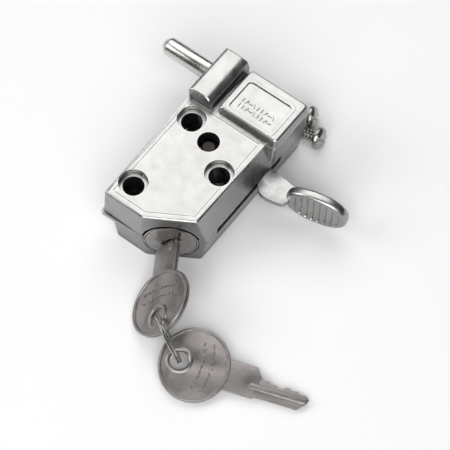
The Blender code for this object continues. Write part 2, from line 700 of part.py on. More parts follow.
def make_pivot_post(parts):
    """Post pressed into the tray, with a groove for the clip above the lever."""
    low, high = CLIP_GROOVE_Z
    profile = [(0.0, POST_TOP_Z), (POST_R - 0.5, POST_TOP_Z), (POST_R, POST_TOP_Z - 0.5), (POST_R, high),
               (CLIP_GROOVE_R, high), (CLIP_GROOVE_R, low), (POST_R, low), (POST_R, POST_LOW_Z),
               (0.0, POST_LOW_Z)]
    post = turned("lever_pivot_post", profile, parts, steps=24)
    post.location = Vector((PIVOT[0], PIVOT[1], 0.0)) * MM
    return post


def make_washer(parts):
    """Flat washer between the lever and its clip."""
    outer = 4.9
    low = LEVER_Z[1] + GAP
    high = low + 0.65
    profile = [(outer, high), (outer, low), (POST_R + GAP, low), (POST_R + GAP, high)]
    washer = turned("lever_washer", profile, parts, steps=24, closed=True)
    washer.location = Vector((PIVOT[0], PIVOT[1], 0.0)) * MM
    return washer


def clip_outline(inner, outer, mouth):
    """Open ring, with its mouth along +X, half the mouth's angle each side."""
    return arc((0.0, 0.0), outer, mouth, 360.0 - mouth, 20) + arc((0.0, 0.0), inner, 360.0 - mouth, mouth, 20)


def make_lever_clip(parts):
    """Open clip in the post's groove."""
    clip = plate("lever_retaining_clip", [clip_outline(2.3, 4.2, 40.0)], 14.2, 14.95, parts)
    clip.location = Vector((PIVOT[0], PIVOT[1], 0.0)) * MM
    return clip


# ---- key cylinder ----------------------------------------------------------------------
def make_cylinder_housing(parts, frame):
    """Flanged barrel with a bore for the plug and a groove for the casing's saddles."""
    bore = PLUG_R + GAP
    head = PLUG_HEAD_R + GAP
    groove = BARREL_R - 0.75
    profile = [(FLANGE_R - 0.3, 0.0), (FLANGE_R, -0.3), (FLANGE_R, -FLANGE_DEPTH),
               (BARREL_R, -FLANGE_DEPTH), (BARREL_R, -9.0), (groove, -9.0), (groove, -11.0),
               (BARREL_R, -11.0), (BARREL_R, BARREL_END), (bore, BARREL_END),
               (bore, -PLUG_HEAD_DEPTH - GAP), (head, -PLUG_HEAD_DEPTH - GAP), (head, 0.0)]
    made = turned("cylinder_housing", profile, parts, closed=True)
    under(made, frame)
    return made


def make_plug(parts, guides, key_frame):
    """Turning plug with its keyway, wafer slots, clip groove and cam tenon."""
    profile = [(0.0, 0.0), (PLUG_HEAD_R - 0.2, 0.0), (PLUG_HEAD_R, -0.2), (PLUG_HEAD_R, -PLUG_HEAD_DEPTH),
               (PLUG_R, -PLUG_HEAD_DEPTH), (PLUG_R, -17.6), (5.0, -17.6), (5.0, -18.8),
               (PLUG_R, -18.8), (PLUG_R, PLUG_END), (0.0, PLUG_END)]
    plug = turned("cylinder_plug", profile, parts)
    under(plug, key_frame)
    turn_back = Matrix.Rotation(-KEY_ANGLE, 4, 'Z')
    tenon = box("guide_plug_tenon", (-TENON, -TENON, PLUG_END - CAM_DEPTH - GAP),
                (TENON, TENON, PLUG_END + 0.5), parts)
    tenon.data.transform(turn_back)
    under(tenon, key_frame)
    join(plug, tenon, guides)
    keyway = box("cutter_keyway", (-4.1, -KEY_THICK / 2 - GAP, -18.1), (4.1, KEY_THICK / 2 + GAP, CUT_PAST),
                 parts)
    under(keyway, key_frame)
    cut(plug, keyway, guides)
    for i in range(WAFER_COUNT):
        z = WAFER_FIRST - i * WAFER_PITCH
        slot = box(f"cutter_wafer_slot_{i + 1}", (-9.0, -2.8, z - WAFER_THICK / 2 - GAP),
                   (9.0, 2.8, z + WAFER_THICK / 2 + GAP), parts)
        under(slot, key_frame)
        cut(plug, slot, guides)
    return plug


def make_wafer(index, parts, key_frame):
    """Locking wafer with a window for the key."""
    z = WAFER_FIRST - index * WAFER_PITCH
    outer = rounded([(-5.1, -2.5), (5.1, -2.5), (5.1, 2.5), (-5.1, 2.5)], 0.8, 3)
    window = [(-4.1, -1.3), (4.1, -1.3), (4.1, 1.3), (-4.1, 1.3)]
    wafer = plate(f"wafer_{index + 1}", [outer, window], z - WAFER_THICK / 2, z + WAFER_THICK / 2, parts)
    under(wafer, key_frame)
    return wafer


def make_cam(parts, frame):
    """Cam on the plug's tenon; its nose points down when the lever is free."""
    outline = rounded([(-CAM_HALF_WIDTH, -CAM_NOSE), (CAM_HALF_WIDTH, -CAM_NOSE),
                       (CAM_HALF_WIDTH, CAM_HALF_WIDTH), (-CAM_HALF_WIDTH, CAM_HALF_WIDTH)], 0.6)
    hole = TENON + GAP
    window = [(-hole, -hole), (hole, -hole), (hole, hole), (-hole, hole)]
    cam = plate("plug_cam", [outline, window], PLUG_END - GAP - CAM_DEPTH, PLUG_END - GAP, parts)
    under(cam, frame)
    return cam


def make_plug_clip(parts, frame):
    """Open clip in the plug's groove, behind the barrel."""
    clip = plate("plug_retaining_clip", [clip_outline(5.3, 7.0, 25.0)], -18.6, -17.85, parts)
    under(clip, frame)
    return clip


# ---- keys and ring ---------------------------------------------------------------------
def key_outline():
    """Key about its bow's centre: bow, shank, and a blade with cuts on its +Y edge."""
    join_angle = math.degrees(math.asin(SHANK_HALF / BOW_WIDTH_R))
    bow = []
    for i in range(41):
        angle = math.radians(join_angle + (360.0 - 2 * join_angle) * i / 40)
        bow.append((BOW_LENGTH_R * math.cos(angle), BOW_WIDTH_R * math.sin(angle)))
    end = SHOULDER_X + BLADE_LENGTH
    lower = [(SHOULDER_X - 0.3, -SHANK_HALF), (SHOULDER_X + 0.6, BLADE_LOW), (end - 3.2, BLADE_LOW),
             (end - 0.5, -1.7), (end, -0.4)]
    cuts = [(1.6, 0.8), (3.4, 0.6), (4.2, 1.3), (6.2, 0.9), (7.0, 1.6), (8.4, 1.5), (9.2, 0.5),
            (10.8, 0.4), (11.6, 1.2), (13.4, 1.1), (14.2, 1.8), (15.8, 1.4)]
    upper = [(end - along_blade, height) for along_blade, height in cuts]
    upper += [(SHOULDER_X + 1.2, BLADE_HIGH), (SHOULDER_X - 1.0, SHANK_HALF)]
    return bow + lower + upper


def make_key(name, parts):
    """Flat key: its own X runs from the bow to the tip, and Z through its thickness."""
    hole = arc((BOW_HOLE_X, 0.0), BOW_HOLE_R, 0.0, 345.0, 23)
    return plate(name, [key_outline(), hole], -KEY_THICK / 2, KEY_THICK / 2, parts)


def ring_frame():
    """Ring's centre and the two directions of its plane: level, and up its slope."""
    level = RING_HEADING.normalized()
    leaning = Vector((level.y, -level.x, 0.0))
    slope = leaning * math.cos(RING_FALL) + Vector((0.0, 0.0, math.sin(RING_FALL)))
    centre_z = TABLE_CLEARANCE + RING_WIRE_R + RING_R * math.sin(RING_FALL)
    hole = key_hole_centre()
    up = (hole.z - centre_z) / math.sin(RING_FALL)
    centre = hole + level * math.sqrt(RING_R ** 2 - up ** 2) - slope * up
    return centre, level, slope


def key_hole_centre():
    """Middle of the hole in the inserted key's bow."""
    centre = Vector(cylinder_centre())
    out = Vector((math.sin(BEND), -math.cos(BEND), 0.0))
    along_end = Vector((math.cos(BEND), math.sin(BEND), 0.0))
    across = along_end * math.cos(KEY_ANGLE) + Vector((0.0, 0.0, math.sin(KEY_ANGLE)))
    return centre + out * (KEY_OUT - BOW_HOLE_X) + across * KEY_ASIDE


def spare_hole_centre():
    """Where the ring passes through the spare key's bow."""
    centre, level, slope = ring_frame()
    up = (SPARE_HOLE_Z - centre.z) / slope.z
    return centre + level * math.sqrt(RING_R ** 2 - up ** 2) + slope * up


def make_ring(parts):
    """Split ring, as the outer shape of its two turns of wire."""
    centre, level, slope = ring_frame()
    shape = bmesh.new()
    around = 36
    sides = 8
    rings = []
    for i in range(around):
        angle = 2 * math.pi * i / around
        out = level * math.cos(angle) + slope * math.sin(angle)
        normal = level.cross(slope)
        row = []
        for k in range(sides):
            turn = 2 * math.pi * k / sides
            offset = out * (math.cos(turn) * RING_WIRE_DEEP) + normal * (math.sin(turn) * RING_WIRE_R)
            row.append(shape.verts.new((out * RING_R + offset) * MM))
        rings.append(row)
    for i in range(around):
        after = rings[(i + 1) % around]
        for k in range(sides):
            m = (k + 1) % sides
            shape.faces.new((rings[i][k], rings[i][m], after[m], after[k]))
    bmesh.ops.recalc_face_normals(shape, faces=shape.faces)
    ring = wrap("key_ring", shape, parts)
    hole = key_hole_centre()
    ring.data.transform(Matrix.Translation((centre - hole) * MM))
    ring.location = hole * MM
    return ring


def place_spare(key):
    """Lay the spare key from the ring down to its tip on the table."""
    hole = spare_hole_centre()
    reach = SHOULDER_X + BLADE_LENGTH - BOW_HOLE_X
    low_edge = KEY_THICK / 2 - BLADE_LOW * math.sin(SPARE_ROLL)
    drop = (hole.z - low_edge - TABLE_CLEARANCE) / reach
    turn = Matrix.Rotation(math.asin(drop), 4, 'Y')
    roll = Matrix.Rotation(SPARE_ROLL, 4, 'X')
    heading = Matrix.Rotation(SPARE_HEADING, 4, 'Z')
    key.data.transform(Matrix.Translation(Vector((-BOW_HOLE_X, 0.0, 0.0)) * MM))
    key.data.transform(heading @ turn @ roll)
    key.location = hole * MM


# ---- mounting screws -------------------------------------------------------------------
def make_mounting_screw(index, place, heading, parts, guides):
    """Slotted pan-head screw lying on the table, head rim and tip touching it."""
    head = SCREW_HEAD_R
    profile = [(0.0, SCREW_HEAD_H), (1.6, SCREW_HEAD_H - 0.1), (3.0, SCREW_HEAD_H - 0.6),
               (head - 0.15, SCREW_HEAD_H - 1.5), (head, 0.3), (head - 0.2, 0.0), (SCREW_SHANK_R, 0.0),
               (SCREW_SHANK_R, -SCREW_LENGTH + SCREW_POINT), (0.35, -SCREW_LENGTH),
               (0.0, -SCREW_LENGTH)]
    made = turned(f"mounting_screw_{index + 1}", profile, parts, steps=24)
    width, depth = SCREW_SLOT
    slot = box(f"cutter_screw_slot_{index + 1}", (-head - CUT_PAST, -width / 2, SCREW_HEAD_H - depth),
               (head + CUT_PAST, width / 2, SCREW_HEAD_H + CUT_PAST), parts)
    cut(made, slot, guides)
    tilt = math.atan((head - SCREW_SHANK_R) / (SCREW_LENGTH - SCREW_POINT))
    turn = Matrix.Rotation(math.radians(heading), 4, 'Z') @ Matrix.Rotation(math.pi / 2 - tilt, 4, 'Y')
    turn = turn @ Matrix.Rotation(SCREW_SLOT_TURN, 4, 'Z')
    height = head * math.cos(tilt) + TABLE_CLEARANCE
    made.matrix_world = Matrix.Translation(Vector((place[0], place[1], height)) * MM) @ turn
    slot.matrix_world = made.matrix_world
    return made


# ---- assembly --------------------------------------------------------------------------
def build():
    clear_scene()
    parts = collection("window_sash_lock")
    guides = collection("cutters")
    frame = empty("cylinder_axis", cylinder_centre(), (math.pi / 2, 0.0, BEND), parts)
    key_frame = empty("keyway_axis", (0.0, 0.0, 0.0), (0.0, 0.0, KEY_ANGLE), parts, frame)

    cast = (0.62, 0.62, 0.62)
    steel = (0.70, 0.69, 0.67)
    nickel = (0.55, 0.53, 0.51)
    brass = (0.72, 0.58, 0.32)
    finish(make_front_cover(parts, guides, frame), metal("front_cover", cast, 0.38))
    finish(make_rear_housing(parts, guides, frame), metal("rear_housing", cast, 0.45))
    finish(make_bolt(parts, guides), metal("bolt_pin", steel, 0.18))
    finish(make_drive_pin(parts), metal("bolt_drive_pin", steel, 0.3))
    finish(make_friction_shoe(parts), metal("friction_shoe", brass, 0.35))
    spring = make_friction_spring(parts)
    spring.data.materials.append(metal("friction_spring", steel, 0.3))
    finish(make_lever(parts, guides), metal("thumb_lever", cast, 0.35))
    finish(make_pivot_post(parts), metal("lever_pivot_post", steel, 0.35))
    finish(make_washer(parts), metal("lever_washer", steel, 0.3))
    finish(make_lever_clip(parts), metal("lever_retaining_clip", steel, 0.4))
    finish(make_cylinder_housing(parts, frame), metal("cylinder_housing", nickel, 0.3))
    finish(make_plug(parts, guides, key_frame), metal("cylinder_plug", nickel, 0.22))
    for i in range(WAFER_COUNT):
        finish(make_wafer(i, parts, key_frame), metal(f"wafer_{i + 1}", brass, 0.35))
    finish(make_cam(parts, frame), metal("plug_cam", steel, 0.4))
    finish(make_plug_clip(parts, frame), metal("plug_retaining_clip", steel, 0.4))

    key = make_key("key_inserted", parts)
    key.data.transform(Matrix.Rotation(math.pi / 2, 4, 'Y'))
    key.data.transform(Matrix.Rotation(math.pi / 2, 4, 'Z'))
    key.location = Vector((KEY_ASIDE, 0.0, KEY_OUT)) * MM
    under(key, key_frame)
    finish(key, metal("key_inserted", nickel, 0.32))
    finish(make_ring(parts), metal("key_ring", steel, 0.2))
    spare = make_key("spare_key", parts)
    place_spare(spare)
    finish(spare, metal("spare_key", nickel, 0.32))

    for i, place in enumerate(COVER_SCREWS):
        finish(make_cover_screw(i, place, parts), metal(f"cover_screw_{i + 1}", steel, 0.35))
    for i, (place, heading) in enumerate(MOUNTING_SCREWS):
        finish(make_mounting_screw(i, place, heading, parts, guides),
               metal(f"mounting_screw_{i + 1}", steel, 0.22))

    origin = empty("lock_origin", (-PIVOT[0], -PIVOT[1], 0.0), (0.0, 0.0, 0.0), parts)
    for made in list(parts.objects) + list(guides.objects):
        if made.parent is None and made is not origin:
            made.parent = origin


build()
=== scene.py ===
"""Looks of the keyed pin-bolt sash lock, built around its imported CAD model.

Shapes are drawn in millimetres in the lock's own drawing: X across the face towards the
lever, Y along the case towards the bolt, Z out of the face, from the lower left corner of
the face. PLACE turns that drawing into the row frame, whose origin is the lever's pivot.
"""

import math

import bmesh
import bpy
from mathutils import Euler, Matrix, Vector


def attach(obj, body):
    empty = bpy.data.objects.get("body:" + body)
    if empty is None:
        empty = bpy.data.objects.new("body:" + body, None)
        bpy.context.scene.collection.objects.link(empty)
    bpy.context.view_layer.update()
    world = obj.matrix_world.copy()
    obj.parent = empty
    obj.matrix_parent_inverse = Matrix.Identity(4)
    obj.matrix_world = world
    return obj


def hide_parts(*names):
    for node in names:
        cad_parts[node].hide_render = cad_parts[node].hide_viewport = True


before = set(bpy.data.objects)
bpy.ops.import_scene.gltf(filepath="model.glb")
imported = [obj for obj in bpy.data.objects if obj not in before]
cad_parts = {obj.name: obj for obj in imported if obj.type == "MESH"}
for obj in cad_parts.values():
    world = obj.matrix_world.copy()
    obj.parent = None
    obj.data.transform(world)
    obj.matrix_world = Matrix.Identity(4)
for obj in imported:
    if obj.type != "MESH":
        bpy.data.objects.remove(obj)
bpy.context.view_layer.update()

MM = 0.001
PIVOT = Vector((15.9, 36.2, 0.0))
PLACE = Matrix.Diagonal((MM, MM, MM, 1.0)) @ Matrix.Translation(-PIVOT)

# ---- sizes shared with the CAD, in millimetres and radians -----------------------------
FACE_Z = 25.4
PAD_Z = 28.7
BEND = math.atan2(9.4, 15.5)                    # slope of the angled end
ALONG_END = Vector((math.cos(BEND), math.sin(BEND), 0.0))
OUT_OF_END = Vector((math.sin(BEND), -math.cos(BEND), 0.0))

CYLINDER = Vector((16.2, 0.0, 10.2)) + ALONG_END * 9.15
FLANGE_R = 9.4
BARREL_R = 7.75
BARREL_GROOVE_R = 7.0
BARREL_BORE_R = 6.15
PLUG_FACE_R = 8.65
PLUG_R = 5.85
PLUG_GROOVE_R = 5.0

KEY_ANGLE = math.radians(44.0)
KEY_OUT = 22.6
KEY_ASIDE = -1.0
KEY_THICK = 1.8
BOW_LENGTH_R = 12.0
BOW_WIDTH_R = 12.7
BOW_HOLE_R = 3.2
BOW_HOLE_X = -5.2
SHANK_HALF = 5.3
SHOULDER_X = 21.3
BLADE_LENGTH = 18.0
BLADE_END = SHOULDER_X + BLADE_LENGTH
BLADE_LOW = -4.6
BLADE_HIGH = 2.4

RING_R = 8.3
RING_WIRE_R = 0.85
RING_TURNS = 2
RING_FALL = math.radians(77.7)
RING_LEVEL = Vector((0.864, -0.503, 0.0)).normalized()
TABLE_CLEARANCE = 0.15
SPARE_HOLE_Z = 3.8
SPARE_HEADING = math.radians(20.2)
SPARE_ROLL = math.radians(8.0)

BOLT_AXIS = Vector((0.0, 61.4, 20.0))
BOLT_R = 3.4
BOLT_TIP_X = -22.5
BOLT_TAIL_X = 9.5

FORK_REST = 114.0                               # degrees, as are the next two
FINGER_REST = -52.0
SWING = 48.0
LEVER_LOW = 10.5
LEVER_HIGH = 12.9
HUB_R = 5.2
POST_HOLE_R = 2.9
FIXING_HOLE_2 = (10.2, -7.45)                   # from the lever's pivot
THUMB_PAD = Vector((39.5, 8.5, 11.0))
THUMB_PAD_TURN = math.radians(12.1)
THUMB_PAD_HALF = (11.35, 7.8, 1.8)

MOUNTING_SCREWS = [((37.2, 70.4), 7.0), ((30.2, 75.8), 21.0)]   # place, heading in degrees
SCREW_HEAD_R = 4.15
SCREW_SHANK_R = 2.1
SCREW_LENGTH = 14.0
SCREW_POINT = 3.0

# ---- detail that only the looks have ---------------------------------------------------
ROUND_STEPS = 96                                # sides of the larger turned pieces
TICK_TURNS = (90.0, 60.0, 0.0, 115.0, 90.0)     # degrees, taken in turn by the raised marks
SHARP_ANGLE = math.radians(30.0)                # shading breaks at edges sharper than this


# ---- node materials: noise scales are per metre, reaches and heights in metres ---------
EVEN = (1.0, 1.0, 1.0)
SIDEWAYS = (0.06, 1.0, 1.0)
WHITE = (1.0, 1.0, 1.0)
CLOUD_TINT = (0.90, 0.90, 0.89)
EDGE_BRIGHTENING = 1.3


def shader_tree(name):
    """New material, its node tree, and its Principled shader."""
    made = bpy.data.materials.new(name)
    made.use_nodes = True
    tree = made.node_tree
    return made, tree, tree.nodes["Principled BSDF"]


def noise(tree, scale, detail=4.0, stretch=EVEN, roughness=0.55):
    """Noise in object space; a small stretch draws it out along that axis."""
    place = tree.nodes.new("ShaderNodeTexCoord")
    mapping = tree.nodes.new("ShaderNodeMapping")
    mapping.inputs["Scale"].default_value = stretch
    texture = tree.nodes.new("ShaderNodeTexNoise")
    texture.inputs["Scale"].default_value = scale
    texture.inputs["Detail"].default_value = detail
    texture.inputs["Roughness"].default_value = roughness
    tree.links.new(place.outputs["Object"], mapping.inputs["Vector"])
    tree.links.new(mapping.outputs["Vector"], texture.inputs["Vector"])
    return texture.outputs["Fac"]


def remap(tree, value, low, high, start=0.3, end=0.7):
    """Map a value's useful span, start to end, to the span low to high."""
    node = tree.nodes.new("ShaderNodeMapRange")
    node.inputs["From Min"].default_value = start
    node.inputs["From Max"].default_value = end
    node.inputs["To Min"].default_value = low
    node.inputs["To Max"].default_value = high
    tree.links.new(value, node.inputs["Value"])
    return node.outputs["Result"]


def blend_colour(tree, factor, first, second):
    """Mix two colours, or colour outputs, by a factor."""
    node = tree.nodes.new("ShaderNodeMix")
    node.data_type = 'RGBA'
    tree.links.new(factor, node.inputs["Factor"])
    for socket, value in ((node.inputs[6], first), (node.inputs[7], second)):
        if isinstance(value, tuple):
            socket.default_value = (*value, 1.0)
        else:
            tree.links.new(value, socket)
    return node.outputs[2]


def multiplied(tree, first, second):
    """Product of two colour outputs."""
    node = tree.nodes.new("ShaderNodeMix")
    node.data_type = 'RGBA'
    node.blend_type = 'MULTIPLY'
    node.inputs["Factor"].default_value = 1.0
    tree.links.new(first, node.inputs[6])
    tree.links.new(second, node.inputs[7])
    return node.outputs[2]


def bump(tree, height, strength, distance, after=None):
    """Normal from a height, on top of an earlier bump where there is one."""
    node = tree.nodes.new("ShaderNodeBump")
    node.inputs["Strength"].default_value = strength
    node.inputs["Distance"].default_value = distance
    tree.links.new(height, node.inputs["Height"])
    if after is not None:
        tree.links.new(after, node.inputs["Normal"])
    return node.outputs["Normal"]


def openness(tree, reach):
    """1 on open surfaces, falling in corners and holes; the mask for painted shade."""
    node = tree.nodes.new("ShaderNodeAmbientOcclusion")
    node.samples = 6
    node.inputs["Distance"].default_value = reach
    return node.outputs["AO"]


def flatness(tree, radius):
    """1 on flat surfaces, falling along edges, where a rounded normal leaves the plain one."""
    rounded_normal = tree.nodes.new("ShaderNodeBevel")
    rounded_normal.samples = 4
    rounded_normal.inputs["Radius"].default_value = radius
    plain = tree.nodes.new("ShaderNodeNewGeometry")
    dot = tree.nodes.new("ShaderNodeVectorMath")
    dot.operation = 'DOT_PRODUCT'
    tree.links.new(rounded_normal.outputs["Normal"], dot.inputs[0])
    tree.links.new(plain.outputs["Normal"], dot.inputs[1])
    return dot.outputs["Value"]


def facing_up(tree):
    """1 on faces that look out of the lock's front, 0 on its walls."""
    plain = tree.nodes.new("ShaderNodeNewGeometry")
    split = tree.nodes.new("ShaderNodeSeparateXYZ")
    tree.links.new(plain.outputs["Normal"], split.inputs["Vector"])
    return remap(tree, split.outputs["Z"], low=0.0, high=1.0, start=0.35, end=0.97)


def cast_metal(name, colour, dull_shaded_wall, dark, roughness, shaded=0.60, grain=0.00004):
    """Satin casting: bright faces, part polish and part painted light from above, over duller walls
    carrying painted shade; cloudy tone, fine grain, and painted shade darkening the crevices.
    """
    made, tree, shader = shader_tree(name)
    cloud = noise(tree, scale=60.0, detail=8.0, roughness=0.65)
    # painted light and shade: faces that look up take the lighter colour, walls the darker one; part
    # polished face, part painted top light and painted wall shade
    tone = blend_colour(tree, facing_up(tree), dull_shaded_wall, colour)
    cloudy = remap(tree, cloud, low=0.0, high=1.0, start=0.30, end=0.70)
    tone = multiplied(tree, tone, blend_colour(tree, cloudy, CLOUD_TINT, WHITE))
    worn = remap(tree, flatness(tree, 0.0005), low=1.0, high=0.0, start=0.90, end=0.995)
    bright = tuple(min(1.0, c * EDGE_BRIGHTENING) for c in colour)
    tone = blend_colour(tree, worn, tone, bright)
    # painted shade: corners, holes and slots darkened towards the dark colour by ambient occlusion
    clear = remap(tree, openness(tree, 0.005), low=0.0, high=1.0, start=0.05, end=shaded)
    tone = blend_colour(tree, clear, dark, tone)
    tree.links.new(tone, shader.inputs["Base Color"])
    shader.inputs["Metallic"].default_value = 1.0
    handled = noise(tree, scale=260.0, detail=3.0)
    rough = remap(tree, handled, low=roughness - 0.06, high=roughness + 0.09)
    tree.links.new(rough, shader.inputs["Roughness"])
    coarse = bump(tree, noise(tree, scale=700.0, detail=3.0), strength=0.35, distance=grain * 3)
    fine = bump(tree, noise(tree, scale=3200.0, detail=2.0), strength=0.5, distance=grain, after=coarse)
    tree.links.new(fine, shader.inputs["Normal"])
    return made


def plated_metal(name, colour, dark, roughness, stretch=EVEN, streak=0.35, scale=500.0, blotch=0.35):
    """Plated or drawn metal with streaks, stained spots, fine scratches, and painted shade in its
    hollows.
    """
    made, tree, shader = shader_tree(name)
    streaks = noise(tree, scale=scale, stretch=stretch)
    between = remap(tree, streaks, low=0.0, high=1.0, start=0.35, end=0.68)
    tone = blend_colour(tree, between, tuple(c * (1 - streak) for c in colour), colour)
    spots = noise(tree, scale=160.0, detail=5.0)
    stained = remap(tree, spots, low=0.0, high=blotch, start=0.50, end=0.78)
    tone = blend_colour(tree, stained, tone, dark)
    # painted shade: hollows darkened towards the dark colour, which also tints the stained spots
    clear = remap(tree, openness(tree, 0.002), low=0.0, high=1.0, start=0.15, end=0.8)
    tone = blend_colour(tree, clear, dark, tone)
    tree.links.new(tone, shader.inputs["Base Color"])
    shader.inputs["Metallic"].default_value = 1.0
    rough = remap(tree, spots, low=roughness - 0.05, high=roughness + 0.12)
    tree.links.new(rough, shader.inputs["Roughness"])
    drawn = bump(tree, streaks, strength=0.25, distance=0.00002)
    scratches = noise(tree, scale=1500.0, detail=3.0)
    scratched = bump(tree, scratches, strength=0.25, distance=0.00002, after=drawn)
    tree.links.new(scratched, shader.inputs["Normal"])
    return made


MATERIALS = {
    "cast_cover": cast_metal(
        "cast_cover", colour=(0.58, 0.575, 0.565), dull_shaded_wall=(0.34, 0.34, 0.34),
        dark=(0.03, 0.03, 0.03), roughness=0.30),
    # painted shade: the tray's slots and crevices darkened nearly to black, over a wider span than the
    # cover's
    "cast_tray": cast_metal(
        "cast_tray", colour=(0.45, 0.445, 0.44), dull_shaded_wall=(0.30, 0.30, 0.30),
        dark=(0.012, 0.012, 0.012), roughness=0.36, shaded=0.9),
    "cast_lever": cast_metal(
        "cast_lever", colour=(0.54, 0.535, 0.53), dull_shaded_wall=(0.36, 0.36, 0.355),
        dark=(0.04, 0.04, 0.04), roughness=0.28),
    "bolt_steel": plated_metal(
        "bolt_steel", colour=(0.74, 0.73, 0.71), dark=(0.40, 0.39, 0.38), roughness=0.24,
        stretch=SIDEWAYS, scale=420.0),
    "pin_steel": plated_metal(
        "pin_steel", colour=(0.075, 0.068, 0.06), dark=(0.03, 0.027, 0.024), roughness=0.42),
    "spring_steel": plated_metal(
        "spring_steel", colour=(0.30, 0.30, 0.30), dark=(0.10, 0.10, 0.10), roughness=0.38),
    "cylinder_nickel": plated_metal(
        "cylinder_nickel", colour=(0.46, 0.45, 0.44), dark=(0.20, 0.19, 0.18), roughness=0.20,
        streak=0.2),
    "key_nickel": plated_metal(
        "key_nickel", colour=(0.36, 0.335, 0.328), dark=(0.25, 0.232, 0.226), roughness=0.34,
        streak=0.12, scale=900.0, blotch=0.2),
    "ring_steel": plated_metal(
        "ring_steel", colour=(0.60, 0.59, 0.57), dark=(0.18, 0.17, 0.17), roughness=0.20),
    "screw_steel": plated_metal(
        "screw_steel", colour=(0.50, 0.49, 0.47), dark=(0.16, 0.15, 0.14), roughness=0.24),
    "wafer_brass": plated_metal(
        "wafer_brass", colour=(0.52, 0.38, 0.16), dark=(0.25, 0.17, 0.07), roughness=0.35),
}


# ---- mesh helpers ----------------------------------------------------------------------
def linked(name, data):
    """New object in the scene, from mesh, curve, light or camera data."""
    made = bpy.data.objects.new(name, data)
    bpy.context.scene.collection.objects.link(made)
    return made


def finished(shape):
    """Mesh from a bmesh, which it frees."""
    mesh = bpy.data.meshes.new("shape")
    shape.to_mesh(mesh)
    shape.free()
    return mesh


def lathe(profile, steps):
    """Mesh of a (radius, z) profile spun about Z; a point on the axis closes it."""
    on_axis = 0.001
    shape = bmesh.new()
    rings = []
    for radius, z in profile:
        if radius < on_axis:
            rings.append([shape.verts.new((0.0, 0.0, z))])
            continue
        ring = []
        for i in range(steps):
            angle = 2 * math.pi * i / steps
            ring.append(shape.verts.new((radius * math.cos(angle), radius * math.sin(angle), z)))
        rings.append(ring)
    for low, high in zip(rings, rings[1:]):
        for i in range(steps):
            j = (i + 1) % steps
            face = [low[i % len(low)], low[j % len(low)], high[j % len(high)], high[i % len(high)]]
            corners = list(dict.fromkeys(face))
            if len(corners) > 2:
                shape.faces.new(corners)
    bmesh.ops.recalc_face_normals(shape, faces=shape.faces)
    return finished(shape)


def filled(outlines, thickness):
    """Plain flat mesh from closed outlines; later outlines are holes."""
    curve = bpy.data.curves.new("outline", 'CURVE')
    curve.dimensions = '2D'
    curve.fill_mode = 'BOTH'
    curve.extrude = thickness / 2
    for outline in outlines:
        spline = curve.splines.new('POLY')
        spline.points.add(len(outline) - 1)
        spline.use_cyclic_u = True
        for point, (x, y) in zip(spline.points, outline):
            point.co = (x, y, 0.0, 1.0)
    source = linked("outline", curve)
    bpy.context.view_layer.update()
    graph = bpy.context.evaluated_depsgraph_get()
    mesh = bpy.data.meshes.new_from_object(source.evaluated_get(graph))
    bpy.data.objects.remove(source, do_unlink=True)
    return mesh


def dissolve_flats(shape):
    """Drop the edges and points inside flat faces."""
    bmesh.ops.dissolve_limit(shape, angle_limit=math.radians(1.0), verts=shape.verts,
                             edges=shape.edges)


def is_rim(edge):
    """Whether an edge lies between a flat side of a plate and its wall."""
    rim_angle = 1.2
    if len(edge.link_faces) != 2 or edge.calc_face_angle() <= rim_angle:
        return False
    return max(abs(face.normal.z) for face in edge.link_faces) > 0.9


def plate(outlines, low, high, edge):
    """Flat piece from z low to high with rounded rims; outlines after the first are holes."""
    shape = bmesh.new()
    shape.from_mesh(filled(outlines, high - low))
    bmesh.ops.remove_doubles(shape, verts=shape.verts, dist=0.0005)
    bmesh.ops.recalc_face_normals(shape, faces=shape.faces)
    dissolve_flats(shape)
    rims = [side for side in shape.edges if is_rim(side)]
    bmesh.ops.bevel(shape, geom=rims, offset=edge, segments=3, profile=0.5, affect='EDGES',
                    clamp_overlap=True)
    bmesh.ops.translate(shape, verts=shape.verts, vec=(0.0, 0.0, (low + high) / 2))
    return finished(shape)


def together(meshes):
    """One mesh from several, each with its place."""
    shape = bmesh.new()
    for mesh, place in meshes:
        copy = mesh.copy()
        copy.transform(place)
        shape.from_mesh(copy)
    return finished(shape)


def piece(name, mesh, place, body, slot, nodes=(), sharp=32.0):
    """Object from a mesh drawn in millimetres: placed, shaded, and riding on a body."""
    mesh.transform(PLACE @ place)
    mesh.name = name
    made = linked(name, mesh)
    mesh.materials.clear()
    mesh.materials.append(MATERIALS[slot])
    mesh.shade_smooth()
    mesh.set_sharp_from_angle(angle=math.radians(sharp))
    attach(made, body)
    if nodes:
        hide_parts(*nodes)
    return made


def bake_modifiers(made):
    """Put a piece's modifiers into its mesh."""
    bpy.context.view_layer.update()
    graph = bpy.context.evaluated_depsgraph_get()
    mesh = bpy.data.meshes.new_from_object(made.evaluated_get(graph))
    made.modifiers.clear()
    made.data = mesh


def cut_out(made, name, mesh, place):
    """Cut a mesh drawn in millimetres out of a finished piece."""
    mesh.transform(PLACE @ place)
    cutter = linked(name + "_cutter", mesh)
    cut = made.modifiers.new(name, 'BOOLEAN')
    cut.object = cutter
    cut.operation = 'DIFFERENCE'
    bake_modifiers(made)
    bpy.data.objects.remove(cutter, do_unlink=True)
    made.data.set_sharp_from_angle(angle=SHARP_ANGLE)


def arc(centre, radius, start, end, steps):
    """Points on an arc, angles in degrees."""
    points = []
    for i in range(steps + 1):
        angle = math.radians(start + (end - start) * i / steps)
        points.append((centre[0] + radius * math.cos(angle), centre[1] + radius * math.sin(angle)))
    return points


def circle(centre, radius, steps=48):
    """Points round a circle."""
    return arc(centre, radius, 0.0, 360.0 - 360.0 / steps, steps - 1)


def box_outline(left, low, right, high):
    """Corners of a rectangle."""
    return [(left, low), (right, low), (right, high), (left, high)]


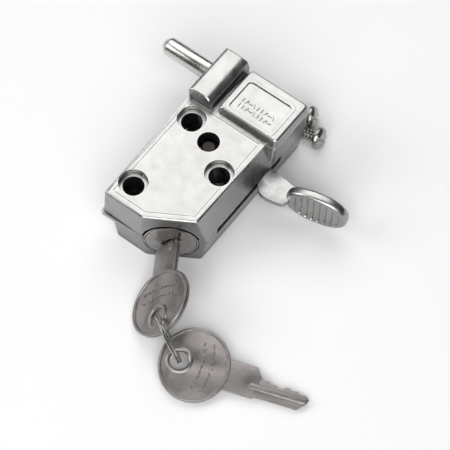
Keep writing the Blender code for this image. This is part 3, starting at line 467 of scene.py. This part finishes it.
def rounded(corners, radius, steps):
    """Outline with each corner replaced by an arc of the given radius."""
    outline = []
    for i, corner in enumerate(corners):
        here = Vector(corner)
        back = (Vector(corners[i - 1]) - here).normalized()
        ahead = (Vector(corners[(i + 1) % len(corners)]) - here).normalized()
        half = back.angle(ahead) / 2
        centre = here + (back + ahead).normalized() * radius / math.sin(half)
        first = here + back * radius / math.tan(half) - centre
        last = here + ahead * radius / math.tan(half) - centre
        turn = math.atan2(first.cross(last), first.dot(last))
        for k in range(steps + 1):
            angle = turn * k / steps
            x = first.x * math.cos(angle) - first.y * math.sin(angle)
            y = first.x * math.sin(angle) + first.y * math.cos(angle)
            outline.append((centre.x + x, centre.y + y))
    return outline


# ---- case ------------------------------------------------------------------------------
CAST_EDGE_ANGLE = math.radians(32.0)


def is_broad_edge(edge):
    """Whether an edge tops a deep outer wall of the cover: rims of face, pad and ridge."""
    lowest_rim = (FACE_Z - 0.1) * MM
    pivot_hole = 5.0 * MM
    deep = 2.6 * MM
    if len(edge.link_faces) != 2 or edge.calc_face_angle() < CAST_EDGE_ANGLE:
        return False
    middle = (edge.verts[0].co + edge.verts[1].co) / 2
    if middle.xy.length < pivot_hole or middle.z < lowest_rim:
        return False
    tops = [face for face in edge.link_faces if face.normal.z > 0.8]
    walls = [face for face in edge.link_faces if face.normal.z < 0.6]
    if not tops or not walls:
        return False
    return middle.z - min(vertex.co.z for vertex in walls[0].verts) > deep


def rims_marked(source):
    """Copy of a CAD mesh without spare edges, its broad edges weighted for a bevel."""
    shape = bmesh.new()
    shape.from_mesh(source)
    bmesh.ops.remove_doubles(shape, verts=shape.verts, dist=0.000002)
    dissolve_flats(shape)
    weight = shape.edges.layers.float.new("bevel_weight_edge")
    for edge in shape.edges:
        edge[weight] = float(is_broad_edge(edge))
    return finished(shape)


def softened(node, body, slot, width, broad_width=0.0):
    """Stand-in for a CAD node with its cast edges rounded, and its rims rounded more."""
    mesh = rims_marked(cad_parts[node].data)
    made = linked(node + "_cast", mesh)
    mesh.materials.clear()
    mesh.materials.append(MATERIALS[slot])
    mesh.shade_smooth()
    mesh.set_sharp_from_angle(angle=SHARP_ANGLE)
    if broad_width:
        broad = made.modifiers.new("cast_rims", 'BEVEL')
        broad.width = broad_width * MM
        broad.segments = 5
        broad.limit_method = 'WEIGHT'
        broad.use_clamp_overlap = False
        broad.harden_normals = True
    round_off = made.modifiers.new("cast_edges", 'BEVEL')
    round_off.width = width * MM
    round_off.segments = 2
    round_off.limit_method = 'ANGLE'
    round_off.angle_limit = CAST_EDGE_ANGLE
    round_off.use_clamp_overlap = True
    round_off.harden_normals = True
    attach(made, body)
    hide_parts(node)


def make_case():
    softened("front_cover", "case", "cast_cover", width=0.2, broad_width=0.85)
    softened("rear_housing", "case", "cast_tray", width=0.35)


def tick_mesh(length, low, high):
    """Short raised bar, standing for stamped marks."""
    half_width = 0.24
    bar = rounded(box_outline(-length / 2, -half_width, length / 2, half_width), 0.2, 3)
    return plate([bar], low, high, 0.14)


def make_label():
    """Bead round the label recess, and a generic pattern of raised ticks on its floor."""
    outer = rounded(box_outline(12.5, 48.4, 32.9, 63.7), 2.2, 8)
    inner = rounded(box_outline(13.8, 49.7, 31.6, 62.4), 1.3, 8)
    bead = plate([outer, inner], PAD_Z - 0.4, PAD_Z + 0.14, 0.13)
    first_x, first_y = 16.2, 55.2
    column_step, row_step = 1.55, 2.5
    ticks = []
    for row in range(2):
        for column in range(9):
            place = Matrix.Translation((first_x + column * column_step, first_y - row * row_step, 0.0))
            turn = Matrix.Rotation(math.radians(TICK_TURNS[(row * 4 + column) % 5]), 4, 'Z')
            ticks.append((tick_mesh(1.7, PAD_Z - 0.6, PAD_Z - 0.12), place @ turn))
    piece("label_bead", bead, Matrix(), "case", "cast_cover")
    piece("label_ticks", together(ticks), Matrix(), "case", "cast_cover")


# ---- bolt ------------------------------------------------------------------------------
def make_bolt():
    """Bolt with a chamfered, slightly domed nose and a small radius at its tail."""
    length = BOLT_TAIL_X - BOLT_TIP_X
    nose = [(0.0, length), (1.0, length - 0.03), (1.65, length - 0.1), (1.9, length - 0.25)]
    chamfer = [(3.15, length - 1.7), (3.33, length - 2.0), (BOLT_R, length - 2.4)]
    tail = [(BOLT_R, 0.6), (BOLT_R - 0.15, 0.2), (BOLT_R - 0.5, 0.0), (0.0, 0.0)]
    spot = Matrix.Translation((BOLT_TAIL_X, BOLT_AXIS.y, BOLT_AXIS.z))
    place = spot @ Matrix.Rotation(-math.pi / 2, 4, 'Y')
    turned = lathe(nose + chamfer + tail, ROUND_STEPS)
    piece("bolt", turned, place, "bolt", "bolt_steel", ["bolt_pin"], 25.0)


# ---- lever -----------------------------------------------------------------------------
FORK_TIP = 28.0
FORK_HALF = 3.3
FORK_NECK_HALF = 2.7
FORK_SLOT_HALF = 2.15
FORK_SLOT_END = 24.4
FINGER_END = 9.3
FINGER_HALF = 1.5
PAD_STEPS = 180
PAD_RINGS = 44


def along(angle, distance, aside):
    """Point at a distance along a direction in degrees, moved to its left."""
    direction = math.radians(angle)
    x = distance * math.cos(direction) - aside * math.sin(direction)
    y = distance * math.sin(direction) + aside * math.cos(direction)
    return (x, y)


def fork_outline():
    """The fork's two tines and the slot between them, from its left side to its right."""
    left = [along(FORK_REST, 4.0, 3.1), along(FORK_REST, 20.0, FORK_NECK_HALF),
            along(FORK_REST, 22.5, FORK_HALF), along(FORK_REST, FORK_TIP, FORK_HALF),
            along(FORK_REST, FORK_TIP, FORK_SLOT_HALF)]
    slot_end = along(FORK_REST, FORK_SLOT_END, 0.0)
    slot = arc(slot_end, FORK_SLOT_HALF, FORK_REST + 90.0, FORK_REST + 270.0, 12)
    right = [along(FORK_REST, FORK_TIP, -FORK_SLOT_HALF), along(FORK_REST, FORK_TIP, -FORK_HALF),
             along(FORK_REST, 22.5, -FORK_HALF), along(FORK_REST, 20.0, -FORK_NECK_HALF),
             along(FORK_REST, 8.5, -FORK_NECK_HALF)]
    return left + slot + right


def arm_outline():
    """The arm to the thumb pad, then the relief that clears the second fixing hole."""
    upper = [(6.0, 9.6), (12.0, 10.9), (18.2, 10.6), (24.0, 10.1), (29.3, 9.4)]
    tip = [(30.5, 7.6), (30.8, 5.4), (30.6, 3.2), (29.9, 1.7)]
    lower = [(28.4, 1.1), (26.7, 0.7), (25.0, 0.35), (23.6, 0.2), (22.4, 0.25), (21.2, 0.6),
             (20.1, 1.3), (19.4, 2.0), (18.8, 2.8), (18.2, 4.1), (17.0, 4.9)]
    hole_x, hole_y = FIXING_HOLE_2
    hole_angle = math.degrees(math.atan2(hole_y, hole_x))
    swung_hole = along(hole_angle + SWING, math.hypot(hole_x, hole_y), 0.0)
    relief = arc(swung_hole, 3.2, 55.0, 205.0, 14)
    return upper + tip + lower + relief


def lever_outline():
    """Lever plate about its pivot: fork, arm, hub and tail finger."""
    hub_right = arc((0.0, 0.0), HUB_R, -2.0, FINGER_REST + 20.0, 4)
    tail = [along(FINGER_REST, 6.5, FINGER_HALF)]
    finger_end = along(FINGER_REST, FINGER_END, 0.0)
    tail += arc(finger_end, FINGER_HALF, FINGER_REST + 90.0, FINGER_REST - 90.0, 12)
    tail += [along(FINGER_REST, 6.5, -FINGER_HALF)]
    hub_left = arc((0.0, 0.0), HUB_R, FINGER_REST - 20.0, FORK_REST + 42.0 - 360.0, 20)
    return list(reversed(fork_outline() + arm_outline() + hub_right + tail + hub_left))


def pad_outline(angle, share):
    """Point on the pad's squarish oval, scaled by share."""
    half_length, half_height, _ = THUMB_PAD_HALF
    squareness = 0.9
    x = math.copysign(abs(math.cos(angle)) ** squareness, math.cos(angle)) * half_length * share
    z = math.copysign(abs(math.sin(angle)) ** squareness, math.sin(angle)) * half_height * share
    return x, z


def pad_depth(x, share, front):
    """Height over the pad's middle plane: rounded edge, and ribs inside the front's rim."""
    edge_start, edge_width, edge_drop = 0.90, 0.10, 1.1
    rim, rib_pitch, rib_depth = 0.84, 2.25, 0.62
    fall = max(0.0, (share - edge_start) / edge_width)
    depth = THUMB_PAD_HALF[2] - edge_drop * (1.0 - math.sqrt(max(0.0, 1.0 - fall * fall)))
    if front and share < rim:
        fade = min(1.0, (rim - share) / 0.05)
        rib = 0.5 + 0.5 * math.cos(2 * math.pi * x / rib_pitch)
        depth -= fade * (rib_depth - rib_depth * rib ** 0.8)
    return depth


def pad_side(shape, front):
    """One side of the pad, in rings out from its middle. Returns the outermost ring."""
    side = -1.0 if front else 1.0
    layers = []
    for k in range(PAD_RINGS + 1):
        share = k / PAD_RINGS
        layer = []
        for i in range(PAD_STEPS if k else 1):
            x, z = pad_outline(2 * math.pi * i / PAD_STEPS, share)
            layer.append(shape.verts.new((x, side * pad_depth(x, share, front), z)))
        layers.append(layer)
    for inner, outer in zip(layers, layers[1:]):
        for i in range(PAD_STEPS):
            j = (i + 1) % PAD_STEPS
            face = [inner[i % len(inner)], inner[j % len(inner)], outer[j], outer[i]]
            shape.faces.new(list(dict.fromkeys(face)))
    return layers[-1]


def thumb_pad():
    """Oval pad: ribbed front inside a smooth rim, rounded edge, plain back."""
    shape = bmesh.new()
    front_edge = pad_side(shape, True)
    back_edge = pad_side(shape, False)
    for i in range(PAD_STEPS):
        j = (i + 1) % PAD_STEPS
        shape.faces.new((front_edge[i], front_edge[j], back_edge[j], back_edge[i]))
    bmesh.ops.recalc_face_normals(shape, faces=shape.faces)
    return finished(shape)


def make_lever():
    post_hole = circle((0.0, 0.0), POST_HOLE_R)
    arm = plate([lever_outline(), post_hole], LEVER_LOW, LEVER_HIGH, 0.35)
    pad_place = Matrix.Translation(THUMB_PAD) @ Matrix.Rotation(THUMB_PAD_TURN, 4, 'Z')
    both = together([(arm, Matrix()), (thumb_pad(), pad_place)])
    piece("lever", both, Matrix.Translation(PIVOT), "lever", "cast_lever", ["thumb_lever"], 40.0)


# ---- key cylinder ----------------------------------------------------------------------
def cylinder_place():
    """The cylinder's own frame: X along the angled end, Y up, Z out of the end."""
    return Matrix.Translation(CYLINDER) @ Euler((math.pi / 2, 0.0, BEND)).to_matrix().to_4x4()


def make_cylinder():
    """Flange, grooved barrel, and the bore that the plug turns in."""
    flange = [(8.95, 0.0), (9.2, 0.0), (9.35, -0.12), (FLANGE_R, -0.35), (FLANGE_R, -2.5)]
    barrel = [(BARREL_R, -2.5), (BARREL_R, -9.0), (BARREL_GROOVE_R, -9.0),
              (BARREL_GROOVE_R, -11.0), (BARREL_R, -11.0), (BARREL_R, -17.5)]
    bore = [(BARREL_BORE_R, -17.5), (BARREL_BORE_R, -1.7), (8.85, -1.7), (8.85, -0.1), (8.95, 0.0)]
    shell = lathe(flange + barrel + bore, ROUND_STEPS)
    piece("cylinder_shell", shell, cylinder_place(), "case", "cylinder_nickel",
          ["cylinder_housing"])


def keyway_outline():
    """S-shaped keyway, looking into the plug: a slot with a rib space on each side."""
    half = KEY_THICK / 2 + 0.25
    end, rib = 4.0, 0.5
    return [(-end, -half), (-1.4, -half), (-1.2, -half - rib), (1.2, -half - rib), (1.4, -half),
            (end, -half), (end, half), (1.8, half), (1.6, half + rib), (-0.6, half + rib),
            (-0.8, half), (-end, half)]


def make_plug():
    """Plug with a raised ring on its face, a clip groove and an S-shaped keyway."""
    face = [(0.0, -0.12), (7.4, -0.12), (7.7, -0.05), (8.0, 0.0), (8.45, 0.0), (8.6, -0.08),
            (PLUG_FACE_R, -0.25), (PLUG_FACE_R, -1.4)]
    body = [(PLUG_R, -1.4), (PLUG_R, -17.6), (PLUG_GROOVE_R, -17.6), (PLUG_GROOVE_R, -18.8),
            (PLUG_R, -18.8), (PLUG_R, -19.5), (0.0, -19.5)]
    plug = piece("plug", lathe(face + body, ROUND_STEPS), cylinder_place(), "plug",
                 "cylinder_nickel", ["cylinder_plug"])
    spin = cylinder_place() @ Matrix.Rotation(KEY_ANGLE, 4, 'Z')
    cut_out(plug, "keyway", plate([keyway_outline()], -17.0, 3.0, 0.02), spin)


# ---- keys and ring ---------------------------------------------------------------------
BLADE_CUTS = [(1.6, 0.8), (3.4, 0.6), (4.2, 1.3), (6.2, 0.9), (7.0, 1.6), (8.4, 1.5), (9.2, 0.5),
              (10.8, 0.4), (11.6, 1.2), (13.4, 1.1), (14.2, 1.8), (15.8, 1.4)]   # from the tip
BOW_STEPS = 72


def key_outline():
    """Bow, shank and blade about the bow's centre, blade cuts on the +Y edge."""
    join_angle = math.degrees(math.asin(SHANK_HALF / BOW_WIDTH_R))
    bow = []
    for i in range(BOW_STEPS + 1):
        angle = math.radians(join_angle + (360.0 - 2 * join_angle) * i / BOW_STEPS)
        bow.append((BOW_LENGTH_R * math.cos(angle), BOW_WIDTH_R * math.sin(angle)))
    lower = [(SHOULDER_X - 0.3, -SHANK_HALF), (SHOULDER_X + 0.6, BLADE_LOW),
             (BLADE_END - 3.2, BLADE_LOW), (BLADE_END - 0.5, -1.7), (BLADE_END, -0.4)]
    upper = [(BLADE_END - from_tip, height) for from_tip, height in BLADE_CUTS]
    upper += [(SHOULDER_X + 1.2, BLADE_HIGH), (SHOULDER_X - 1.0, SHANK_HALF)]
    return bow + lower + upper


def bow_rim(half):
    """Raised rim round the bow."""
    width = 1.15
    unit = circle((0.0, 0.0), 1.0, 120)
    outer = [(x * BOW_LENGTH_R, y * BOW_WIDTH_R) for x, y in unit]
    inner = [(x * (BOW_LENGTH_R - width), y * (BOW_WIDTH_R - width)) for x, y in unit]
    return plate([outer, inner], -half, half, 0.28)


def hole_collar(half):
    """Rounded collar round the bow's hole, the same on both sides."""
    top = [(BOW_HOLE_R + 1.35, half - 0.25), (BOW_HOLE_R + 0.9, half - 0.05),
           (BOW_HOLE_R + 0.45, half - 0.02), (BOW_HOLE_R + 0.08, half - 0.25)]
    bottom = [(radius, -z) for radius, z in reversed(top)]
    outside = [(BOW_HOLE_R + 1.5, 0.0)]
    return lathe(outside + top + [(BOW_HOLE_R, 0.0)] + bottom + outside, 48)


def key_neck(half):
    """Thick part between the bow and the blade."""
    start = 10.6
    outline = [(start, -SHANK_HALF + 0.1), (SHOULDER_X - 0.5, -SHANK_HALF + 0.1),
               (SHOULDER_X + 0.3, BLADE_LOW + 0.3), (SHOULDER_X + 0.9, BLADE_HIGH - 0.3),
               (SHOULDER_X - 1.2, SHANK_HALF - 0.2), (start, SHANK_HALF - 0.2)]
    return plate([outline], 0.12 - half, half - 0.12, 0.12)


def blade_spine(half):
    """Raised spine along the blade's middle, which leaves a groove on each side."""
    outline = [(18.6, -1.5), (19.6, -2.6), (BLADE_END - 1.7, -2.6), (BLADE_END - 0.6, -1.6),
               (BLADE_END - 0.5, -0.9), (BLADE_END - 1.0, -0.3), (19.6, -0.3)]
    return plate([outline], -half, half, 0.45)


def blade_rail(half):
    """Raised rail along the blade's plain edge."""
    low, high = BLADE_LOW + 0.05, BLADE_LOW + 0.75
    outline = [(SHOULDER_X, low), (BLADE_END - 3.2, low), (BLADE_END - 2.7, high),
               (SHOULDER_X, high)]
    return plate([outline], -half, half, 0.25)


def bow_ticks(half):
    """Two curved rows of raised marks across the bow."""
    first_y, column_step = 7.6, 1.9
    first_x, row_step, bow_curve = 2.4, 3.2, 0.02
    ticks = []
    for row in range(2):
        for column in range(9):
            y = first_y - column * column_step
            place = Matrix.Translation((first_x + row * row_step - bow_curve * y * y, y, 0.0))
            turn = Matrix.Rotation(math.radians(TICK_TURNS[(row * 3 + column) % 5]), 4, 'Z')
            ticks.append((tick_mesh(1.5, -half, half), place @ turn))
    return ticks


def key_mesh():
    """Key with a rimmed bow, a collar round its hole, raised marks, and a grooved blade."""
    half = KEY_THICK / 2
    core = half - 0.32
    hole = circle((BOW_HOLE_X, 0.0), BOW_HOLE_R)
    parts = [(plate([key_outline(), hole], -core, core, 0.12), Matrix()),
             (bow_rim(half), Matrix()),
             (hole_collar(half), Matrix.Translation((BOW_HOLE_X, 0.0, 0.0))),
             (key_neck(half), Matrix()),
             (blade_spine(half), Matrix()),
             (blade_rail(half), Matrix())]
    return together(parts + bow_ticks(half))


def across_keyway():
    """Direction along the keyway's width, in the face of the cylinder."""
    return ALONG_END * math.cos(KEY_ANGLE) + Vector((0.0, 0.0, math.sin(KEY_ANGLE)))


def inserted_key_place():
    """Key's X into the cylinder, its cut edge down and to the left."""
    into = -OUT_OF_END
    down = -across_keyway()
    through = into.cross(down)
    axes = Matrix((into, down, through)).transposed().to_4x4()
    centre = CYLINDER + OUT_OF_END * KEY_OUT + across_keyway() * KEY_ASIDE
    return Matrix.Translation(centre) @ axes


def key_hole():
    """Middle of the inserted key's hole, which the ring passes through."""
    return CYLINDER + OUT_OF_END * (KEY_OUT - BOW_HOLE_X) + across_keyway() * KEY_ASIDE


def ring_frame():
    """Ring's centre and the two directions of its plane: level, and up its slope."""
    uphill = Vector((RING_LEVEL.y, -RING_LEVEL.x, 0.0))
    slope = uphill * math.cos(RING_FALL) + Vector((0.0, 0.0, math.sin(RING_FALL)))
    centre_z = TABLE_CLEARANCE + RING_WIRE_R + RING_R * math.sin(RING_FALL)
    up = (key_hole().z - centre_z) / math.sin(RING_FALL)
    centre = key_hole() + RING_LEVEL * math.sqrt(RING_R ** 2 - up ** 2) - slope * up
    return centre, RING_LEVEL, slope


def spare_key_place():
    """Spare key hung on the ring by its hole, its blade's tip resting on the table."""
    centre, level, slope = ring_frame()
    up = (SPARE_HOLE_Z - centre.z) / slope.z
    hole = centre + level * math.sqrt(RING_R ** 2 - up ** 2) + slope * up
    reach = BLADE_END - BOW_HOLE_X
    low_edge = KEY_THICK / 2 - BLADE_LOW * math.sin(SPARE_ROLL)
    drop = (hole.z - low_edge - TABLE_CLEARANCE) / reach
    turn = Matrix.Rotation(SPARE_HEADING, 4, 'Z') @ Matrix.Rotation(math.asin(drop), 4, 'Y')
    turn = turn @ Matrix.Rotation(SPARE_ROLL, 4, 'X')
    return Matrix.Translation(hole) @ turn @ Matrix.Translation((-BOW_HOLE_X, 0.0, 0.0))


def wire_row(shape, turn, sides):
    """Points round the ring's wire, after a number of turns from its first end."""
    centre, level, slope = ring_frame()
    normal = level.cross(slope)
    wire, flattened, gap = 0.40, 1.25, 0.02
    first_end, crossing = 0.30, 0.06
    angle = 2 * math.pi * (turn + first_end)
    crossed = min(1.0, max(0.0, (turn / RING_TURNS - 0.5) / crossing + 0.5))
    shift = (crossed - 0.5) * 2 * (wire + gap)
    out = level * math.cos(angle) + slope * math.sin(angle)
    row = []
    for k in range(sides):
        around = 2 * math.pi * k / sides
        across = out * (math.cos(around) * wire * flattened)
        across += normal * (math.sin(around) * wire + shift)
        row.append(shape.verts.new(centre + out * RING_R + across))
    return row


def ring_mesh():
    """Split ring: two turns of wire side by side, crossing over at one place."""
    per_turn, sides = 72, 10
    shape = bmesh.new()
    rows = [wire_row(shape, i / per_turn, sides) for i in range(RING_TURNS * per_turn + 1)]
    for first, second in zip(rows, rows[1:]):
        for k in range(sides):
            m = (k + 1) % sides
            shape.faces.new((first[k], first[m], second[m], second[k]))
    shape.faces.new(rows[0])
    shape.faces.new(rows[-1])
    bmesh.ops.recalc_face_normals(shape, faces=shape.faces)
    return finished(shape)


def make_keys():
    piece("inserted_key", key_mesh(), inserted_key_place(), "key", "key_nickel", ["key_inserted"], 30.0)
    piece("loose_key", key_mesh(), spare_key_place(), "spare", "key_nickel", ["spare_key"], 30.0)
    piece("split_ring", ring_mesh(), Matrix(), "ring", "ring_steel", ["key_ring"], 40.0)


# ---- mounting screws -------------------------------------------------------------------
def screw_mesh():
    """Pan head over a threaded shank with a point."""
    head = [(0.0, 2.6), (1.2, 2.56), (2.2, 2.4), (3.1, 2.05), (3.8, 1.5), (4.08, 1.0),
            (SCREW_HEAD_R, 0.6), (SCREW_HEAD_R, 0.25), (4.02, 0.05), (3.9, 0.0), (1.7, 0.0)]
    pitch, root_share = 1.15, 0.78
    tip_r, tip_length = 0.35, 0.3
    thread = []
    z = -0.5
    while z > -SCREW_LENGTH + 0.6:
        left = SCREW_LENGTH - tip_length + z
        taper = (SCREW_SHANK_R - tip_r) * left / (SCREW_POINT - tip_length)
        radius = min(SCREW_SHANK_R, tip_r + taper)
        thread += [(radius * root_share, z), (radius, z - pitch * 0.45), (radius, z - pitch * 0.55)]
        z -= pitch
    tip = [(0.3, -SCREW_LENGTH + 0.15), (0.0, -SCREW_LENGTH)]
    return lathe(head + thread + tip, 48)


def screw_place(place, heading):
    """Screw on its side on the table, resting on its head's rim and its shank's end."""
    slot_turn = math.radians(35.0)
    tilt = math.atan((SCREW_HEAD_R - SCREW_SHANK_R) / (SCREW_LENGTH - SCREW_POINT))
    turn = Matrix.Rotation(math.radians(heading), 4, 'Z') @ Matrix.Rotation(math.pi / 2 - tilt, 4, 'Y')
    turn = turn @ Matrix.Rotation(slot_turn, 4, 'Z')
    height = SCREW_HEAD_R * math.cos(tilt) + TABLE_CLEARANCE
    return Matrix.Translation((place[0], place[1], height)) @ turn


def make_mounting_screws():
    for index, (place, heading) in enumerate(MOUNTING_SCREWS):
        spot = screw_place(place, heading)
        screw = piece(f"loose_screw_{index + 1}", screw_mesh(), spot, "case", "screw_steel",
                      [f"mounting_screw_{index + 1}"], 30.0)
        cut_out(screw, "slot", plate([box_outline(-6.0, -0.6, 6.0, 0.6)], 1.4, 4.0, 0.02), spot)


# ---- what keeps its CAD shape ----------------------------------------------------------
CAD_FINISHES = {
    "lever_pivot_post": "pin_steel", "lever_washer": "pin_steel", "lever_retaining_clip": "spring_steel",
    "friction_shoe": "wafer_brass", "friction_spring": "spring_steel", "bolt_drive_pin": "pin_steel",
    "plug_cam": "pin_steel", "plug_retaining_clip": "spring_steel",
}
WAFERS = 5
COVER_SCREWS = 3


def finish_cad_nodes():
    """Materials for the CAD nodes that no piece stands for."""
    finishes = dict(CAD_FINISHES)
    for i in range(WAFERS):
        finishes[f"wafer_{i + 1}"] = "wafer_brass"
    for i in range(COVER_SCREWS):
        finishes[f"cover_screw_{i + 1}"] = "screw_steel"
    for node, slot in finishes.items():
        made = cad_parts[node]
        made.data.materials.clear()
        made.data.materials.append(MATERIALS[slot])


# ---- studio, in metres -----------------------------------------------------------------
LIGHTS = [                                      # name, place, size, power in watts
    ("overhead", (-0.35, 0.45, 0.85), (1.1, 0.9), 5.3),
    ("front_fill", (0.55, -0.75, 1.0), (1.4, 1.2), 17.0),
    ("left_fill", (-0.9, -0.6, 0.8), (0.7, 0.7), 6.0),
]
CAMERA_PLACE = (0.2123, -0.2721, 0.6009)
CAMERA_TURN = (math.radians(28.57), math.radians(-0.11), math.radians(37.23))


def make_floor():
    """Wide, matt, pale floor."""
    size = 3.0
    mesh = bpy.data.meshes.new("floor")
    corners = [(x, y, 0.0) for x, y in box_outline(-size, -size, size, size)]
    mesh.from_pydata(corners, [], [(0, 1, 2, 3)])
    floor = linked("floor", mesh)
    made, _, shader = shader_tree("floor")
    shader.inputs["Base Color"].default_value = (0.90, 0.90, 0.90, 1.0)
    shader.inputs["Roughness"].default_value = 0.9
    mesh.materials.append(made)


def area_light(name, place, size, power):
    """Soft rectangular light, turned to the lock."""
    data = bpy.data.lights.new(name, 'AREA')
    data.shape = 'RECTANGLE'
    data.size = size[0]
    data.size_y = size[1]
    data.energy = power
    lamp = linked(name, data)
    lamp.location = place
    lamp.rotation_euler = (-Vector(place)).to_track_quat('-Z', 'Y').to_euler()


def make_world():
    """Pale sky over a darker horizon, so that the metal has something to reflect."""
    world = bpy.data.worlds.new("studio")
    bpy.context.scene.world = world
    world.use_nodes = True
    tree = world.node_tree
    place = tree.nodes.new("ShaderNodeTexCoord")
    split = tree.nodes.new("ShaderNodeSeparateXYZ")
    tree.links.new(place.outputs["Generated"], split.inputs["Vector"])
    glow = remap(tree, split.outputs["Z"], low=0.45, high=0.95, start=0.02, end=0.45)
    tree.links.new(glow, tree.nodes["Background"].inputs["Strength"])


def make_studio():
    make_floor()
    make_world()
    for name, place, size, power in LIGHTS:
        area_light(name, place, size, power)


def make_camera():
    """Long lens, looking down on the lock from the photograph's side."""
    data = bpy.data.cameras.new("camera")
    data.sensor_width = 36.0
    data.lens = 160.0
    data.clip_start = 0.01
    camera = linked("camera", data)
    camera.location = CAMERA_PLACE
    camera.rotation_euler = CAMERA_TURN
    bpy.context.scene.camera = camera


make_case()
make_label()
make_bolt()
make_lever()
make_cylinder()
make_plug()
make_keys()
make_mounting_screws()
finish_cad_nodes()
make_studio()
make_camera()
bpy.context.scene.view_settings.view_transform = 'Standard'
